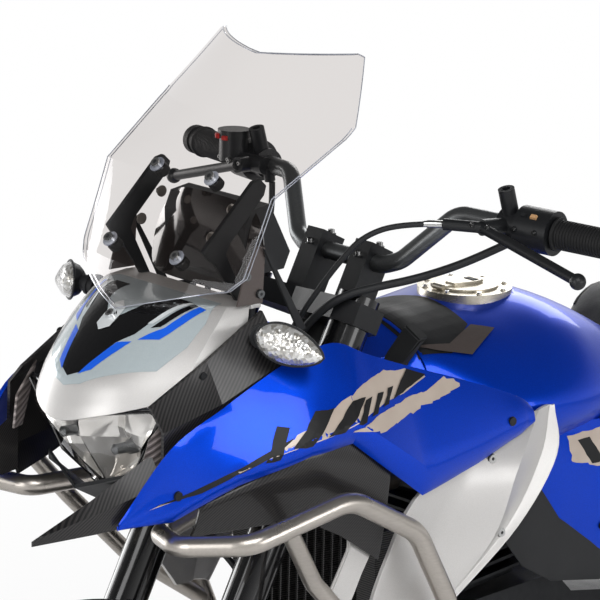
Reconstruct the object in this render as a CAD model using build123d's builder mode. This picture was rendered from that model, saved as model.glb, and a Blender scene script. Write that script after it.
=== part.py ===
"""Adventure motorcycle on its centre stand, built piece by piece.

Millimetres. X runs forwards, Y to the rider's left and Z up. The origin lies on the
ground, midway between the front of the front tyre and the end of the rear mudguard.
"""

import os
from math import asin, atan2, cos, degrees, hypot, pi, radians, sin, sqrt, tan

from build123d import *

os.makedirs("parts", exist_ok=True)

# ---------------------------------------------------------------- driving dimensions
# Wheels and steering
FRONT_AXLE_X = 763.0
SWINGARM_LENGTH = 527.0
FRONT_TYRE_RADIUS = 304.0
FRONT_TYRE_WIDTH = 110.0
FRONT_RIM_RADIUS = 216.0
REAR_TYRE_RADIUS = 314.0
REAR_TYRE_WIDTH = 140.0
REAR_RIM_RADIUS = 216.0
REAR_WHEEL_LIFT = 20.0
RAKE = 26.0
TRAIL = 88.0
AXLE_RADIUS = 12.5
RUNNING_FIT = 0.05
SEAT_GAP = 0.3
BODY_GAP = 5.0

# Fork
FORK_SPREAD = 100.0
FORK_TUBE_RADIUS = 26.0
SLIDER_RADIUS = 21.5
SLIDER_REACH = 230.0
FORK_TOP = 1072.0
HEAD_TUBE_RADIUS = 32.0
STEM_RADIUS = 14.0
STEM_CLEARANCE = 0.3
HEAD_TUBE_LOW = 862.0
HEAD_TUBE_HIGH = 1030.0
YOKE_GAP = 4.0
LOWER_YOKE_THICK = 36.0
UPPER_YOKE_THICK = 28.0

# Handlebar
BAR_RADIUS = 11.0
BAR_CENTRE_X = 368.0
BAR_CENTRE_Z = 1013.0
BAR_HALF_WIDTH = 405.0
GRIP_RADIUS = 17.0
GRIP_LENGTH = 118.0

# Drive side
CHAIN_Y = 88.0
SPROCKET_THICK = 6.0
PIVOT_X = -150.0
PIVOT_Z = 400.0
ARM_Y = 114.0
ARM_WIDTH = 26.0

# Tubes
FRAME_TUBE = 15.0
SUBFRAME_TUBE = 11.0
CRASH_TUBE = 12.5
STAND_TUBE = 12.0

# ---------------------------------------------------------------- derived places
REAR_AXLE_X = PIVOT_X - SWINGARM_LENGTH
FRONT_AXLE_Z = FRONT_TYRE_RADIUS
REAR_AXLE_Z = REAR_TYRE_RADIUS + REAR_WHEEL_LIFT
RAKE_COS = cos(radians(RAKE))
RAKE_SIN = sin(radians(RAKE))
FORK_OFFSET = FRONT_TYRE_RADIUS * RAKE_SIN - TRAIL * RAKE_COS
HEAD_X = FRONT_AXLE_X + TRAIL
AXLE_UP = TRAIL * RAKE_SIN + FRONT_TYRE_RADIUS * RAKE_COS
# Steering frame: U forwards and square to the axis, V left, W up the axis
STEER = Plane(origin=(HEAD_X, 0, 0), x_dir=(RAKE_COS, 0, RAKE_SIN), z_dir=(-RAKE_SIN, 0, RAKE_COS))


# ---------------------------------------------------------------- shaping helpers
def steer_point(u, v, w):
    """Turn a place in the steering frame into one in the model's frame."""
    return Vector(HEAD_X + u * RAKE_COS - w * RAKE_SIN, v, u * RAKE_SIN + w * RAKE_COS)


def both_sides(point):
    """The mirror image of a place, on the right side."""
    return (point[0], -point[1], point[2])


def prism_y(outline, y_low, y_high, mode=Mode.ADD):
    """Extrude an outline of (x, z) corners from y_low to y_high."""
    with BuildSketch(Plane.XZ.offset(-y_high)) as profile:
        with BuildLine():
            Polyline(*outline, close=True)
        make_face()
    extrude(profile.sketch, amount=y_high - y_low, mode=mode)


def prism_x(outline, x_low, x_high, mode=Mode.ADD):
    """Extrude an outline of (y, z) corners from x_low to x_high."""
    with BuildSketch(Plane.YZ.offset(x_low)) as profile:
        with BuildLine():
            Polyline(*outline, close=True)
        make_face()
    extrude(profile.sketch, amount=x_high - x_low, mode=mode)


def prism_z(outline, z_low, z_high, mode=Mode.ADD):
    """Extrude an outline of (x, y) corners from z_low to z_high."""
    with BuildSketch(Plane.XY.offset(z_low)) as profile:
        with BuildLine():
            Polyline(*outline, close=True)
        make_face()
    extrude(profile.sketch, amount=z_high - z_low, mode=mode)


def rod(start, end, radius, bore=0.0, mode=Mode.ADD):
    """A straight round bar, or a tube where a bore is given."""
    way = Vector(*end) - Vector(*start)
    with BuildSketch(Plane(origin=tuple(start), z_dir=tuple(way))) as profile:
        Circle(radius)
        if bore:
            Circle(bore, mode=Mode.SUBTRACT)
    extrude(profile.sketch, amount=way.length, mode=mode)


def bent_tube(points, bend, radius, mode=Mode.ADD):
    """A round bar swept along straight runs joined by arcs."""
    with BuildLine() as route:
        FilletPolyline(*points, radius=bend)
    with BuildSketch(route.line ^ 0) as profile:
        Circle(radius)
    sweep(profile.sketch, path=route.line, mode=mode)


def block(low, high, mode=Mode.ADD):
    """A box between two opposite corners."""
    with BuildSketch(Plane.XY.offset(low[2])) as profile:
        with Locations(((low[0] + high[0]) / 2, (low[1] + high[1]) / 2)):
            Rectangle(high[0] - low[0], high[1] - low[1])
    extrude(profile.sketch, amount=high[2] - low[2], mode=mode)


def turned(axle_x, axle_z, outline, mode=Mode.ADD):
    """Revolve (radius, y) corners about a wheel's axle."""
    with BuildSketch(Plane(origin=(axle_x, 0, axle_z), z_dir=(0, 0, 1))) as profile:
        with BuildLine():
            Polyline(*outline, close=True)
        make_face()
    revolve(profile.sketch, axis=Axis((axle_x, 0, axle_z), (0, 1, 0)), mode=mode)


def side_panel(stations, wall):
    """Loft a bodywork panel of even wall through sections along X.

    Each station is (x, (y, z) top, (y, z) crease, (y, z) bottom) of the outer face.
    """
    sections = []
    for x, top, crease, bottom in stations:
        inner = [(y - wall, z) for y, z in (bottom, crease, top)]
        with BuildSketch(Plane.YZ.offset(x)) as section:
            with BuildLine():
                Polyline(top, crease, bottom, *inner, close=True)
            make_face()
        sections.append(section.sketch)
    loft(sections, ruled=True)


def flank_panel(stations, wall):
    """Loft a bodywork panel of even wall through level sections.

    Each station is (z, (x, y) front, (x, y) ridge, (x, y) rear) of the outer face.
    """
    sections = []
    for z, front, ridge, rear in stations:
        inner = [(x, y - wall) for x, y in (rear, ridge, front)]
        with BuildSketch(Plane.XY.offset(z)) as section:
            with BuildLine():
                Polyline(front, ridge, rear, *inner, close=True)
            make_face()
        sections.append(section.sketch)
    loft(sections, ruled=True)


def write(builder, name):
    """Label a finished piece and write it as STEP."""
    builder.part.label = name
    export_step(builder.part, f"parts/{name}.step")


# ================================================================ wheels
# (axle x, axle z, outer radius, tyre width, rim radius, rim half width, name)
WHEELS = [
    (FRONT_AXLE_X, FRONT_AXLE_Z, FRONT_TYRE_RADIUS, FRONT_TYRE_WIDTH, FRONT_RIM_RADIUS, 35.0, "front"),
    (REAR_AXLE_X, REAR_AXLE_Z, REAR_TYRE_RADIUS, REAR_TYRE_WIDTH, REAR_RIM_RADIUS, 55.0, "rear"),
]
RIM_FLANGE = 9.0
RIM_WALL = 5.0
RIM_WELL = 16.0
SPOKES_PER_SET = 8
SPOKE_RADIUS = 2.2
SPOKE_CROSS = 38.0
HUB_FLANGE_RADIUS = 40.0
HUB_FLANGE_Y = 32.0
HUB_BARREL_RADIUS = 25.0
HUB_HALF_WIDTH = {"front": 55.0, "rear": 62.0}

for axle_x, axle_z, outer, width, rim, rim_half, wheel in WHEELS:
    half = width / 2
    bead = rim + SEAT_GAP
    # (radius, y) of the bead, the widest part of the sidewall and the crown
    tyre_side = [(bead, rim_half - 11), ((rim + outer) / 2 + 15, half - 1), (outer, 0.46 * half)]
    with BuildPart() as tyre:
        turned(axle_x, axle_z, tyre_side + [(r, -y) for r, y in reversed(tyre_side)])
    write(tyre, f"{wheel}_tyre")

    with BuildPart() as rim_part:
        half_profile = [
            (rim + RIM_FLANGE, rim_half),
            (rim + RIM_FLANGE, rim_half - 5),
            (rim, rim_half - 7),
            (rim, rim_half - 16),
            (rim - RIM_WELL, rim_half - 24),
        ]
        outside = half_profile + [(r, -y) for r, y in reversed(half_profile)]
        inside = [
            (rim - RIM_WALL, -rim_half),
            (rim - RIM_WALL, 14 - rim_half),
            (rim - RIM_WELL - RIM_WALL, 22 - rim_half),
            (rim - RIM_WELL - RIM_WALL, rim_half - 22),
            (rim - RIM_WALL, rim_half - 14),
            (rim - RIM_WALL, rim_half),
        ]
        turned(axle_x, axle_z, outside + inside)
    write(rim_part, f"{wheel}_rim")

    with BuildPart(Plane(origin=(axle_x, 0, axle_z), x_dir=(1, 0, 0), z_dir=(0, 1, 0))) as hub:
        Cylinder(HUB_BARREL_RADIUS, 2 * HUB_HALF_WIDTH[wheel])
        with Locations((0, 0, HUB_FLANGE_Y), (0, 0, -HUB_FLANGE_Y)):
            Cylinder(HUB_FLANGE_RADIUS, 6)
        rim_seat = rim - RIM_WELL - RIM_WALL - 2.5 * SEAT_GAP
        for side in (1, -1):
            for lean in (1, -1):
                start = Vector(HUB_FLANGE_RADIUS - 5, 0, side * HUB_FLANGE_Y)
                end = Vector(
                    rim_seat * cos(radians(SPOKE_CROSS)),
                    lean * rim_seat * sin(radians(SPOKE_CROSS)),
                    side * 8,
                )
                spoke = Plane(origin=start, z_dir=end - start)
                phase = (11.25 if side > 0 else 0) + (22.5 if lean > 0 else 0)
                with PolarLocations(0, SPOKES_PER_SET, start_angle=phase):
                    with Locations(spoke.location):
                        Cylinder(
                            SPOKE_RADIUS,
                            (end - start).length,
                            align=(Align.CENTER, Align.CENTER, Align.MIN),
                        )
        Cylinder(AXLE_RADIUS + RUNNING_FIT, 2 * HUB_HALF_WIDTH[wheel] + 2, mode=Mode.SUBTRACT)
    write(hub, f"{wheel}_hub")

# Brake discs and the rear sprocket, each on its own side of a hub
DISC_THICK = 5.0
FRONT_DISC_RADIUS = 145.0
FRONT_DISC_Y = HUB_HALF_WIDTH["front"] + DISC_THICK / 2 + SEAT_GAP
REAR_DISC_RADIUS = 120.0
REAR_DISC_Y = -(HUB_HALF_WIDTH["rear"] + DISC_THICK / 2 + SEAT_GAP)
DISC_BAND = 34.0
DISC_HUB_RADIUS = 42.0
DISC_ARMS = 5
DISC_HOLES = 15


def brake_disc(axle_x, axle_z, disc_y, radius, name):
    """A drilled disc on a five-armed carrier."""
    with BuildPart(Plane(origin=(axle_x, disc_y, axle_z), x_dir=(1, 0, 0), z_dir=(0, 1, 0))) as disc:
        with BuildSketch(Plane(origin=(axle_x, disc_y - DISC_THICK / 2, axle_z), x_dir=(1, 0, 0), z_dir=(0, 1, 0))):
            Circle(radius)
            Circle(radius - DISC_BAND, mode=Mode.SUBTRACT)
            Circle(DISC_HUB_RADIUS)
            with PolarLocations((radius - DISC_BAND + DISC_HUB_RADIUS) / 2, DISC_ARMS):
                Rectangle(radius - DISC_BAND - DISC_HUB_RADIUS + 12, 18)
            with PolarLocations(radius - DISC_BAND / 2, DISC_HOLES, start_angle=9):
                Circle(5, mode=Mode.SUBTRACT)
            Circle(AXLE_RADIUS + 4, mode=Mode.SUBTRACT)
        extrude(amount=DISC_THICK)
    write(disc, name)


brake_disc(FRONT_AXLE_X, FRONT_AXLE_Z, FRONT_DISC_Y, FRONT_DISC_RADIUS, "front_disc")
brake_disc(REAR_AXLE_X, REAR_AXLE_Z, REAR_DISC_Y, REAR_DISC_RADIUS, "rear_disc")

# Chain drive: pitch radius of each sprocket follows from its teeth
CHAIN_PITCH = 15.875
FRONT_TEETH = 15
REAR_TEETH = 40
COUNTERSHAFT_X = -85.0
COUNTERSHAFT_Z = 402.0
FRONT_PITCH_RADIUS = CHAIN_PITCH / 2 / sin(pi / FRONT_TEETH)
REAR_PITCH_RADIUS = CHAIN_PITCH / 2 / sin(pi / REAR_TEETH)
CHAIN_HALF_HEIGHT = 7.5
CHAIN_WAIST = 2.0
LINKS_PER_NOTCH = 3
CHAIN_WIDTH = 16.0
SPROCKET_GAP = 1.0
DRIVE_PLANE = Plane(origin=(0, CHAIN_Y, 0), x_dir=(1, 0, 0), z_dir=(0, -1, 0))

with BuildPart() as rear_sprocket:
    with BuildSketch(Plane(origin=(REAR_AXLE_X, CHAIN_Y + SPROCKET_THICK / 2, REAR_AXLE_Z), z_dir=(0, -1, 0))):
        Circle(REAR_PITCH_RADIUS - CHAIN_HALF_HEIGHT - SPROCKET_GAP)
        with PolarLocations(70, 5):
            Circle(18, mode=Mode.SUBTRACT)
        Circle(AXLE_RADIUS + 4, mode=Mode.SUBTRACT)
    extrude(amount=SPROCKET_THICK)
    # Cush-drive carrier between the hub and the sprocket
    with BuildSketch(
        Plane(origin=(REAR_AXLE_X, CHAIN_Y - SPROCKET_THICK / 2, REAR_AXLE_Z), z_dir=(0, -1, 0))
    ):
        Circle(42)
        Circle(AXLE_RADIUS + 4, mode=Mode.SUBTRACT)
    extrude(amount=CHAIN_Y - SPROCKET_THICK / 2 - HUB_HALF_WIDTH["rear"] - SEAT_GAP)
write(rear_sprocket, "rear_sprocket")

with BuildPart() as chain:
    span = hypot(REAR_AXLE_X - COUNTERSHAFT_X, REAR_AXLE_Z - COUNTERSHAFT_Z)
    slope = atan2(REAR_AXLE_Z - COUNTERSHAFT_Z, REAR_AXLE_X - COUNTERSHAFT_X)
    wrap = asin((REAR_PITCH_RADIUS - FRONT_PITCH_RADIUS) / span)

    straight = sqrt(span**2 - (REAR_PITCH_RADIUS - FRONT_PITCH_RADIUS) ** 2)
    low_turn = slope - pi / 2 - wrap
    high_turn = slope + pi / 2 + wrap
    rear_arc = (pi + 2 * wrap) * REAR_PITCH_RADIUS
    front_arc = (pi - 2 * wrap) * FRONT_PITCH_RADIUS
    chain_length = 2 * straight + rear_arc + front_arc
    notches = round(chain_length / CHAIN_PITCH / LINKS_PER_NOTCH)

    def chain_point(share, offset):
        """A point at a share of the pitch line's length, set out from it by the offset."""
        way = share * chain_length
        front = (COUNTERSHAFT_X, COUNTERSHAFT_Z, FRONT_PITCH_RADIUS + offset)
        rear = (REAR_AXLE_X, REAR_AXLE_Z, REAR_PITCH_RADIUS + offset)
        if way < straight:
            turn, (cx, cz, r), run = low_turn, front, way
        elif way < straight + rear_arc:
            turn, (cx, cz, r), run = low_turn + (way - straight) / REAR_PITCH_RADIUS, rear, 0
        elif way < 2 * straight + rear_arc:
            turn, (cx, cz, r), run = high_turn, rear, way - straight - rear_arc
        else:
            turn = high_turn + (way - 2 * straight - rear_arc) / FRONT_PITCH_RADIUS
            (cx, cz, r), run = front, 0
        return (cx + r * cos(turn) - run * sin(turn), cz + r * sin(turn) + run * cos(turn))

    outer_line = []
    inner_line = []
    for notch in range(notches):
        outer_line.append(chain_point(notch / notches, CHAIN_HALF_HEIGHT))
        outer_line.append(chain_point((notch + 0.5) / notches, CHAIN_HALF_HEIGHT - CHAIN_WAIST))
        inner_line.append(chain_point(notch / notches, -CHAIN_HALF_HEIGHT))
        inner_line.append(chain_point((notch + 0.5) / notches, -CHAIN_HALF_HEIGHT))
    with BuildSketch(DRIVE_PLANE.offset(-CHAIN_WIDTH / 2)) as chain_outline:
        with BuildLine():
            Polyline(*outer_line, close=True)
        make_face()
        with BuildLine():
            Polyline(*inner_line, close=True)
        make_face(mode=Mode.SUBTRACT)
    extrude(chain_outline.sketch, amount=CHAIN_WIDTH)
write(chain, "chain")

# ================================================================ fork and steering
FORK_SIDES = (FORK_SPREAD, -FORK_SPREAD)
SLIDER_TOP = AXLE_UP + SLIDER_REACH
FOOT_TOP = AXLE_UP + 42.0
FOOT_LOW = AXLE_UP - 30.0
COLLAR_RADIUS = FORK_TUBE_RADIUS + 2.5
COLLAR_LENGTH = 60.0

with BuildPart() as fork_tubes:
    for v in FORK_SIDES:
        rod(steer_point(FORK_OFFSET, v, SLIDER_TOP), steer_point(FORK_OFFSET, v, FORK_TOP), FORK_TUBE_RADIUS)
        rod(
            steer_point(FORK_OFFSET, v, SLIDER_TOP),
            steer_point(FORK_OFFSET, v, SLIDER_TOP + COLLAR_LENGTH),
            COLLAR_RADIUS,
        )
write(fork_tubes, "fork_tubes")

with BuildPart() as fork_sliders:
    for v in FORK_SIDES:
        rod(steer_point(FORK_OFFSET, v, FOOT_TOP), steer_point(FORK_OFFSET, v, SLIDER_TOP), SLIDER_RADIUS)
write(fork_sliders, "fork_sliders")

# The caliper straddles the disc's edge behind the left fork foot
CALIPER_ANGLE = 140.0
CALIPER_IN = FRONT_DISC_RADIUS - 46.0
CALIPER_OUT = FRONT_DISC_RADIUS + 16.0
CALIPER_HALF_LENGTH = 46.0
CALIPER_HALF_WIDTH = 24.0
DISC_CLEARANCE = 1.5
AXLE_BORE = 8.0
AXLE_HALF = FORK_SPREAD + SLIDER_RADIUS + 12.0
caliper_way = radians(CALIPER_ANGLE + RAKE)
CALIPER_PLANE = Plane(
    origin=(FRONT_AXLE_X, FRONT_DISC_Y, FRONT_AXLE_Z),
    x_dir=(cos(caliper_way), 0, sin(caliper_way)),
    z_dir=(0, 1, 0),
)
with BuildPart() as fork_feet:
    for v in FORK_SIDES:
        rod(steer_point(FORK_OFFSET, v, FOOT_LOW), steer_point(FORK_OFFSET, v, FOOT_TOP), SLIDER_RADIUS + 3)
    rod((FRONT_AXLE_X, -AXLE_HALF, FRONT_AXLE_Z), (FRONT_AXLE_X, AXLE_HALF, FRONT_AXLE_Z), AXLE_RADIUS)
    rod(
        (FRONT_AXLE_X, -AXLE_HALF - 1, FRONT_AXLE_Z), (FRONT_AXLE_X, AXLE_HALF + 1, FRONT_AXLE_Z),
        AXLE_BORE, mode=Mode.SUBTRACT,
    )
    with BuildSketch(CALIPER_PLANE.offset(-CALIPER_HALF_WIDTH)) as body_profile:
        with Locations(((CALIPER_IN + CALIPER_OUT) / 2, 0)):
            RectangleRounded(CALIPER_OUT - CALIPER_IN, 2 * CALIPER_HALF_LENGTH, 12)
    extrude(body_profile.sketch, amount=2 * CALIPER_HALF_WIDTH)
    slot_half = DISC_THICK / 2 + DISC_CLEARANCE
    with BuildSketch(CALIPER_PLANE.offset(-slot_half)) as slot_profile:
        Circle(FRONT_DISC_RADIUS + DISC_CLEARANCE)
    extrude(slot_profile.sketch, amount=2 * slot_half, mode=Mode.SUBTRACT)
    # Carrier plate from the caliper to the foot, outside the disc
    with BuildSketch(CALIPER_PLANE.offset(slot_half + 4)) as carrier:
        with BuildLine():
            Polyline(
                (CALIPER_IN + 6, -28), (CALIPER_IN + 6, 34), (36, 12), (14, 20), (2, -2), (30, -14),
                close=True,
            )
        make_face()
    extrude(carrier.sketch, amount=FORK_SPREAD - SLIDER_RADIUS - FRONT_DISC_Y - slot_half + 3)
write(fork_feet, "fork_feet")

# Yokes with their stem and the two handlebar clamps
RISER_Y = 45.0
RISER_HALF = 15.0
riser_base = HEAD_TUBE_HIGH + YOKE_GAP + UPPER_YOKE_THICK
bar_u = (BAR_CENTRE_X - HEAD_X) * RAKE_COS + BAR_CENTRE_Z * RAKE_SIN
bar_w = -(BAR_CENTRE_X - HEAD_X) * RAKE_SIN + BAR_CENTRE_Z * RAKE_COS
with BuildPart() as yokes:
    yoke_rows = [
        (HEAD_TUBE_LOW - YOKE_GAP - LOWER_YOKE_THICK, LOWER_YOKE_THICK),
        (HEAD_TUBE_HIGH + YOKE_GAP, UPPER_YOKE_THICK),
    ]
    for base, thick in yoke_rows:
        with BuildSketch(STEER.offset(base)):
            with BuildLine():
                Polyline(
                    (-34, -36), (FORK_OFFSET - 20, -FORK_SPREAD - 30), (FORK_OFFSET + 22, -FORK_SPREAD - 30),
                    (FORK_OFFSET + 34, -FORK_SPREAD), (FORK_OFFSET + 12, 0), (FORK_OFFSET + 34, FORK_SPREAD),
                    (FORK_OFFSET + 22, FORK_SPREAD + 30), (FORK_OFFSET - 20, FORK_SPREAD + 30), (-34, 36),
                    close=True,
                )
            make_face()
            with Locations((FORK_OFFSET, FORK_SPREAD), (FORK_OFFSET, -FORK_SPREAD)):
                Circle(FORK_TUBE_RADIUS + RUNNING_FIT, mode=Mode.SUBTRACT)
        extrude(amount=thick)
    rod(
        steer_point(0, 0, HEAD_TUBE_LOW - YOKE_GAP - 4),
        steer_point(0, 0, HEAD_TUBE_HIGH + YOKE_GAP + 4),
        STEM_RADIUS,
    )
    for v in (RISER_Y, -RISER_Y):
        with BuildSketch(STEER.offset(riser_base - 1)):
            with Locations((bar_u, v)):
                Rectangle(38, 2 * RISER_HALF)
        extrude(amount=bar_w - riser_base + BAR_RADIUS + 11)
    rod(
        steer_point(bar_u, -RISER_Y - 25, bar_w),
        steer_point(bar_u, RISER_Y + 25, bar_w),
        BAR_RADIUS + RUNNING_FIT,
        mode=Mode.SUBTRACT,
    )
write(yokes, "yokes")

# Handlebar: a level middle, two rises and two swept-back ends
BAR_POINTS = [
    (262, BAR_HALF_WIDTH, 1077),
    (324, 156, 1086),
    (361, 96, 1022),
    (BAR_CENTRE_X, 72, BAR_CENTRE_Z),
]
BAR_BENDS = [34.0, 34.0, 30.0]
with BuildPart() as handlebar:
    route = BAR_POINTS + [both_sides(p) for p in reversed(BAR_POINTS)]
    bent_tube(route, BAR_BENDS + BAR_BENDS[::-1], BAR_RADIUS)
write(handlebar, "handlebar")

# Grips and controls follow the straight outer run of the bar
bar_end = Vector(*BAR_POINTS[0])
bar_run = (Vector(*BAR_POINTS[1]) - bar_end).normalized()
bar_end_right = Vector(*both_sides(BAR_POINTS[0]))
bar_run_right = Vector(bar_run.X, -bar_run.Y, bar_run.Z)

with BuildPart() as grips:
    for end, run in ((bar_end, bar_run), (bar_end_right, bar_run_right)):
        rod(end - run * 14, end + run * GRIP_LENGTH, GRIP_RADIUS)
        rod(end - run * 26, end - run * 14, GRIP_RADIUS + 2)
        rod(end - run * 0.05, end + run * (GRIP_LENGTH + 5), BAR_RADIUS + RUNNING_FIT, mode=Mode.SUBTRACT)
write(grips, "grips")

SWITCH_START = GRIP_LENGTH + 1.0
SWITCH_LENGTH = 46.0
PERCH_START = SWITCH_START + SWITCH_LENGTH
PERCH_LENGTH = 28.0
LEVER_SIZE = 6.5
LEVER_BALL = 10.0
MIRROR_BOSS_RADIUS = 10.0
MIRROR_BORE = 5.0
MIRROR_BORE_DEPTH = 22.0
MIRROR_RISE = Vector(14, 0, 46)
CLUTCH_ADJUSTER = (380, 190, 1086)
with BuildPart() as hand_controls:
    for end, run, side in ((bar_end, bar_run, 1), (bar_end_right, bar_run_right, -1)):
        rod(end + run * SWITCH_START, end + run * (SWITCH_START + SWITCH_LENGTH), 27.0)
        rod(end + run * PERCH_START, end + run * (PERCH_START + PERCH_LENGTH), 19.0)
        perch = end + run * (PERCH_START + PERCH_LENGTH / 2)
        pivot = perch + Vector(48, -side * 4, 2)
        rod(perch, pivot, 10.0)
        tip = end + Vector(74, -side * 30, -32)
        rod(pivot, tip, LEVER_SIZE)
        if side > 0:
            # Clutch cable adjuster
            rod(pivot, CLUTCH_ADJUSTER, 7.0)
        with Locations(tip):
            Sphere(LEVER_BALL)
        # Threaded boss for a mirror
        rod(perch, perch + MIRROR_RISE, MIRROR_BOSS_RADIUS)
        mouth = perch + MIRROR_RISE
        rod(mouth + MIRROR_RISE.normalized(), mouth - MIRROR_RISE.normalized() * MIRROR_BORE_DEPTH, MIRROR_BORE, mode=Mode.SUBTRACT)
        if side < 0:
            # Brake master cylinder and its round reservoir
            rod(perch + Vector(22, 30, 2), perch + Vector(22, -30, 2), 11.0)
            rod(perch + Vector(16, 27, 0), perch + Vector(12, 27, -18), 7.0)
            rod(perch + Vector(22, -34, 0), perch + Vector(22, -34, 34), 19.0)
            rod(perch + Vector(22, -34, 30), perch + Vector(22, -34, 40), 21.0)
        rod(
            end + run * (SWITCH_START - 2), end + run * (PERCH_START + PERCH_LENGTH + 30),
            BAR_RADIUS + RUNNING_FIT, mode=Mode.SUBTRACT,
        )
write(hand_controls, "hand_controls")

# Clutch cable and switch harness, from the left controls to the clip on the nose stay
# Each route: (radius, points from the handlebar down)
CABLE_ROUTES = [
    (3.5, [(381, 189.2, 1086), (428, 165, 1088), (464, 140, 1072), (481, 120, 1040), (497, 104, 1008),
           (514, 90, 974), (514, 64, 938), (500, 36, 906), (482, 12.9, 884)]),
    (5.0, [(320, 239, 1064), (342, 214, 1046), (366, 186, 1029), (396, 156, 1014), (434, 137, 1007),
           (474, 117, 997), (494, 92, 970), (496, 64, 938), (482, 38, 906), (464, 14.3, 876)]),
]


def arc_radii(points):
    """The largest even arcs for a soft route: 0.45 of the shorter run at each turn."""
    radii = []
    for before, corner, after in zip(points, points[1:], points[2:]):
        run_in = Vector(*corner) - Vector(*before)
        run_out = Vector(*after) - Vector(*corner)
        turn = radians(run_in.get_angle(run_out))
        radii.append(0.45 * min(run_in.length, run_out.length) / tan(turn / 2))
    return radii


with BuildPart() as cables:
    for radius, points in CABLE_ROUTES:
        bent_tube(points, arc_radii(points), radius)
write(cables, "cables")

# Brake hose: from the right master cylinder, across below the lower yoke, to the caliper
HOSE_RADIUS = 4.0
# (u, v, w) in the steering frame
HOSE_POINTS = [
    (-15.8, -203.2, 1190.8), (-24, -192, 1156), (-10, -174, 1124), (26, -158, 1102), (68, -143, 1090),
    (99, -122, 1058), (100, -108, 1008), (95, -103, 950), (95, -103.5, 893), (95, -103, 838),
    (90, -90, 792), (76, -60, 762), (56, -20, 744), (34, 22, 726), (16, 58, 700), (6, 80, 660),
    (2, 86, 612), (2, 87, 562), (8, 84, 514), (10, 76, 468), (-7, 66, 429.5),
]
with BuildPart() as brake_hose:
    hose_route = [tuple(steer_point(*point)) for point in HOSE_POINTS]
    bent_tube(hose_route, arc_radii(hose_route), HOSE_RADIUS)
write(brake_hose, "brake_hose")

# Front mudguard hugging the tyre, with a lug to each fork collar
FENDER_GAP = 16.0
FENDER_WALL = 3.5
FENDER_HALF = 66.0
FENDER_START = 30.0
FENDER_ARC = 130.0
FENDER_SKIRT = 44.0
with BuildPart() as front_fender:
    guard_low = FRONT_TYRE_RADIUS + FENDER_GAP
    guard_start = radians(FENDER_START)
    guard_plane = Plane(
        origin=(FRONT_AXLE_X, 0, FRONT_AXLE_Z),
        x_dir=(cos(guard_start), 0, sin(guard_start)),
        z_dir=(-sin(guard_start), 0, cos(guard_start)),
    )
    with BuildSketch(guard_plane):
        with BuildLine():
            Polyline(
                (guard_low - FENDER_SKIRT, -FENDER_HALF), (guard_low - 14, -FENDER_HALF),
                (guard_low, -FENDER_HALF + 22), (guard_low, FENDER_HALF - 22),
                (guard_low - 14, FENDER_HALF), (guard_low - FENDER_SKIRT, FENDER_HALF),
                (guard_low - FENDER_SKIRT, FENDER_HALF + FENDER_WALL),
                (guard_low - 12, FENDER_HALF + FENDER_WALL),
                (guard_low + FENDER_WALL, FENDER_HALF - 21), (guard_low + FENDER_WALL, -FENDER_HALF + 21),
                (guard_low - 12, -FENDER_HALF - FENDER_WALL),
                (guard_low - FENDER_SKIRT, -FENDER_HALF - FENDER_WALL),
                close=True,
            )
        make_face()
    revolve(axis=Axis((FRONT_AXLE_X, 0, FRONT_AXLE_Z), (0, -1, 0)), revolution_arc=FENDER_ARC)
    lug_end = FORK_SPREAD - COLLAR_RADIUS - SEAT_GAP
    for side in (1, -1):
        with BuildSketch(STEER.offset(AXLE_UP + guard_low - FENDER_SKIRT + 2)) as lug:
            with Locations((FORK_OFFSET, side * (FENDER_HALF + 1 + lug_end) / 2)):
                Rectangle(26, lug_end - FENDER_HALF - 1)
        extrude(lug.sketch, amount=12)
write(front_fender, "front_fender")

# ================================================================ frame
PIVOT_PLATE_Y = 147.0
PIVOT_PIN = 10.0
POST_X = PIVOT_X - 5.0
CRADLE_Y = 98.0
CRADLE_Z = 268.0
STAND_PIVOT_X = -205.0
STAND_PIVOT_Z = 300.0
STAND_PIN = 8.0
STAND_EAR_Y = 133.0
STAND_EAR_THICK = 6.0
CRASH_BOSS = (336.0, 116.0, 480.0)
ENGINE_LOW = 295.0
# Radiator box corners
RADIATOR_LOW = (393.0, -135.0, 520.0)
RADIATOR_HIGH = (424.0, 135.0, 698.0)
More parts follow.
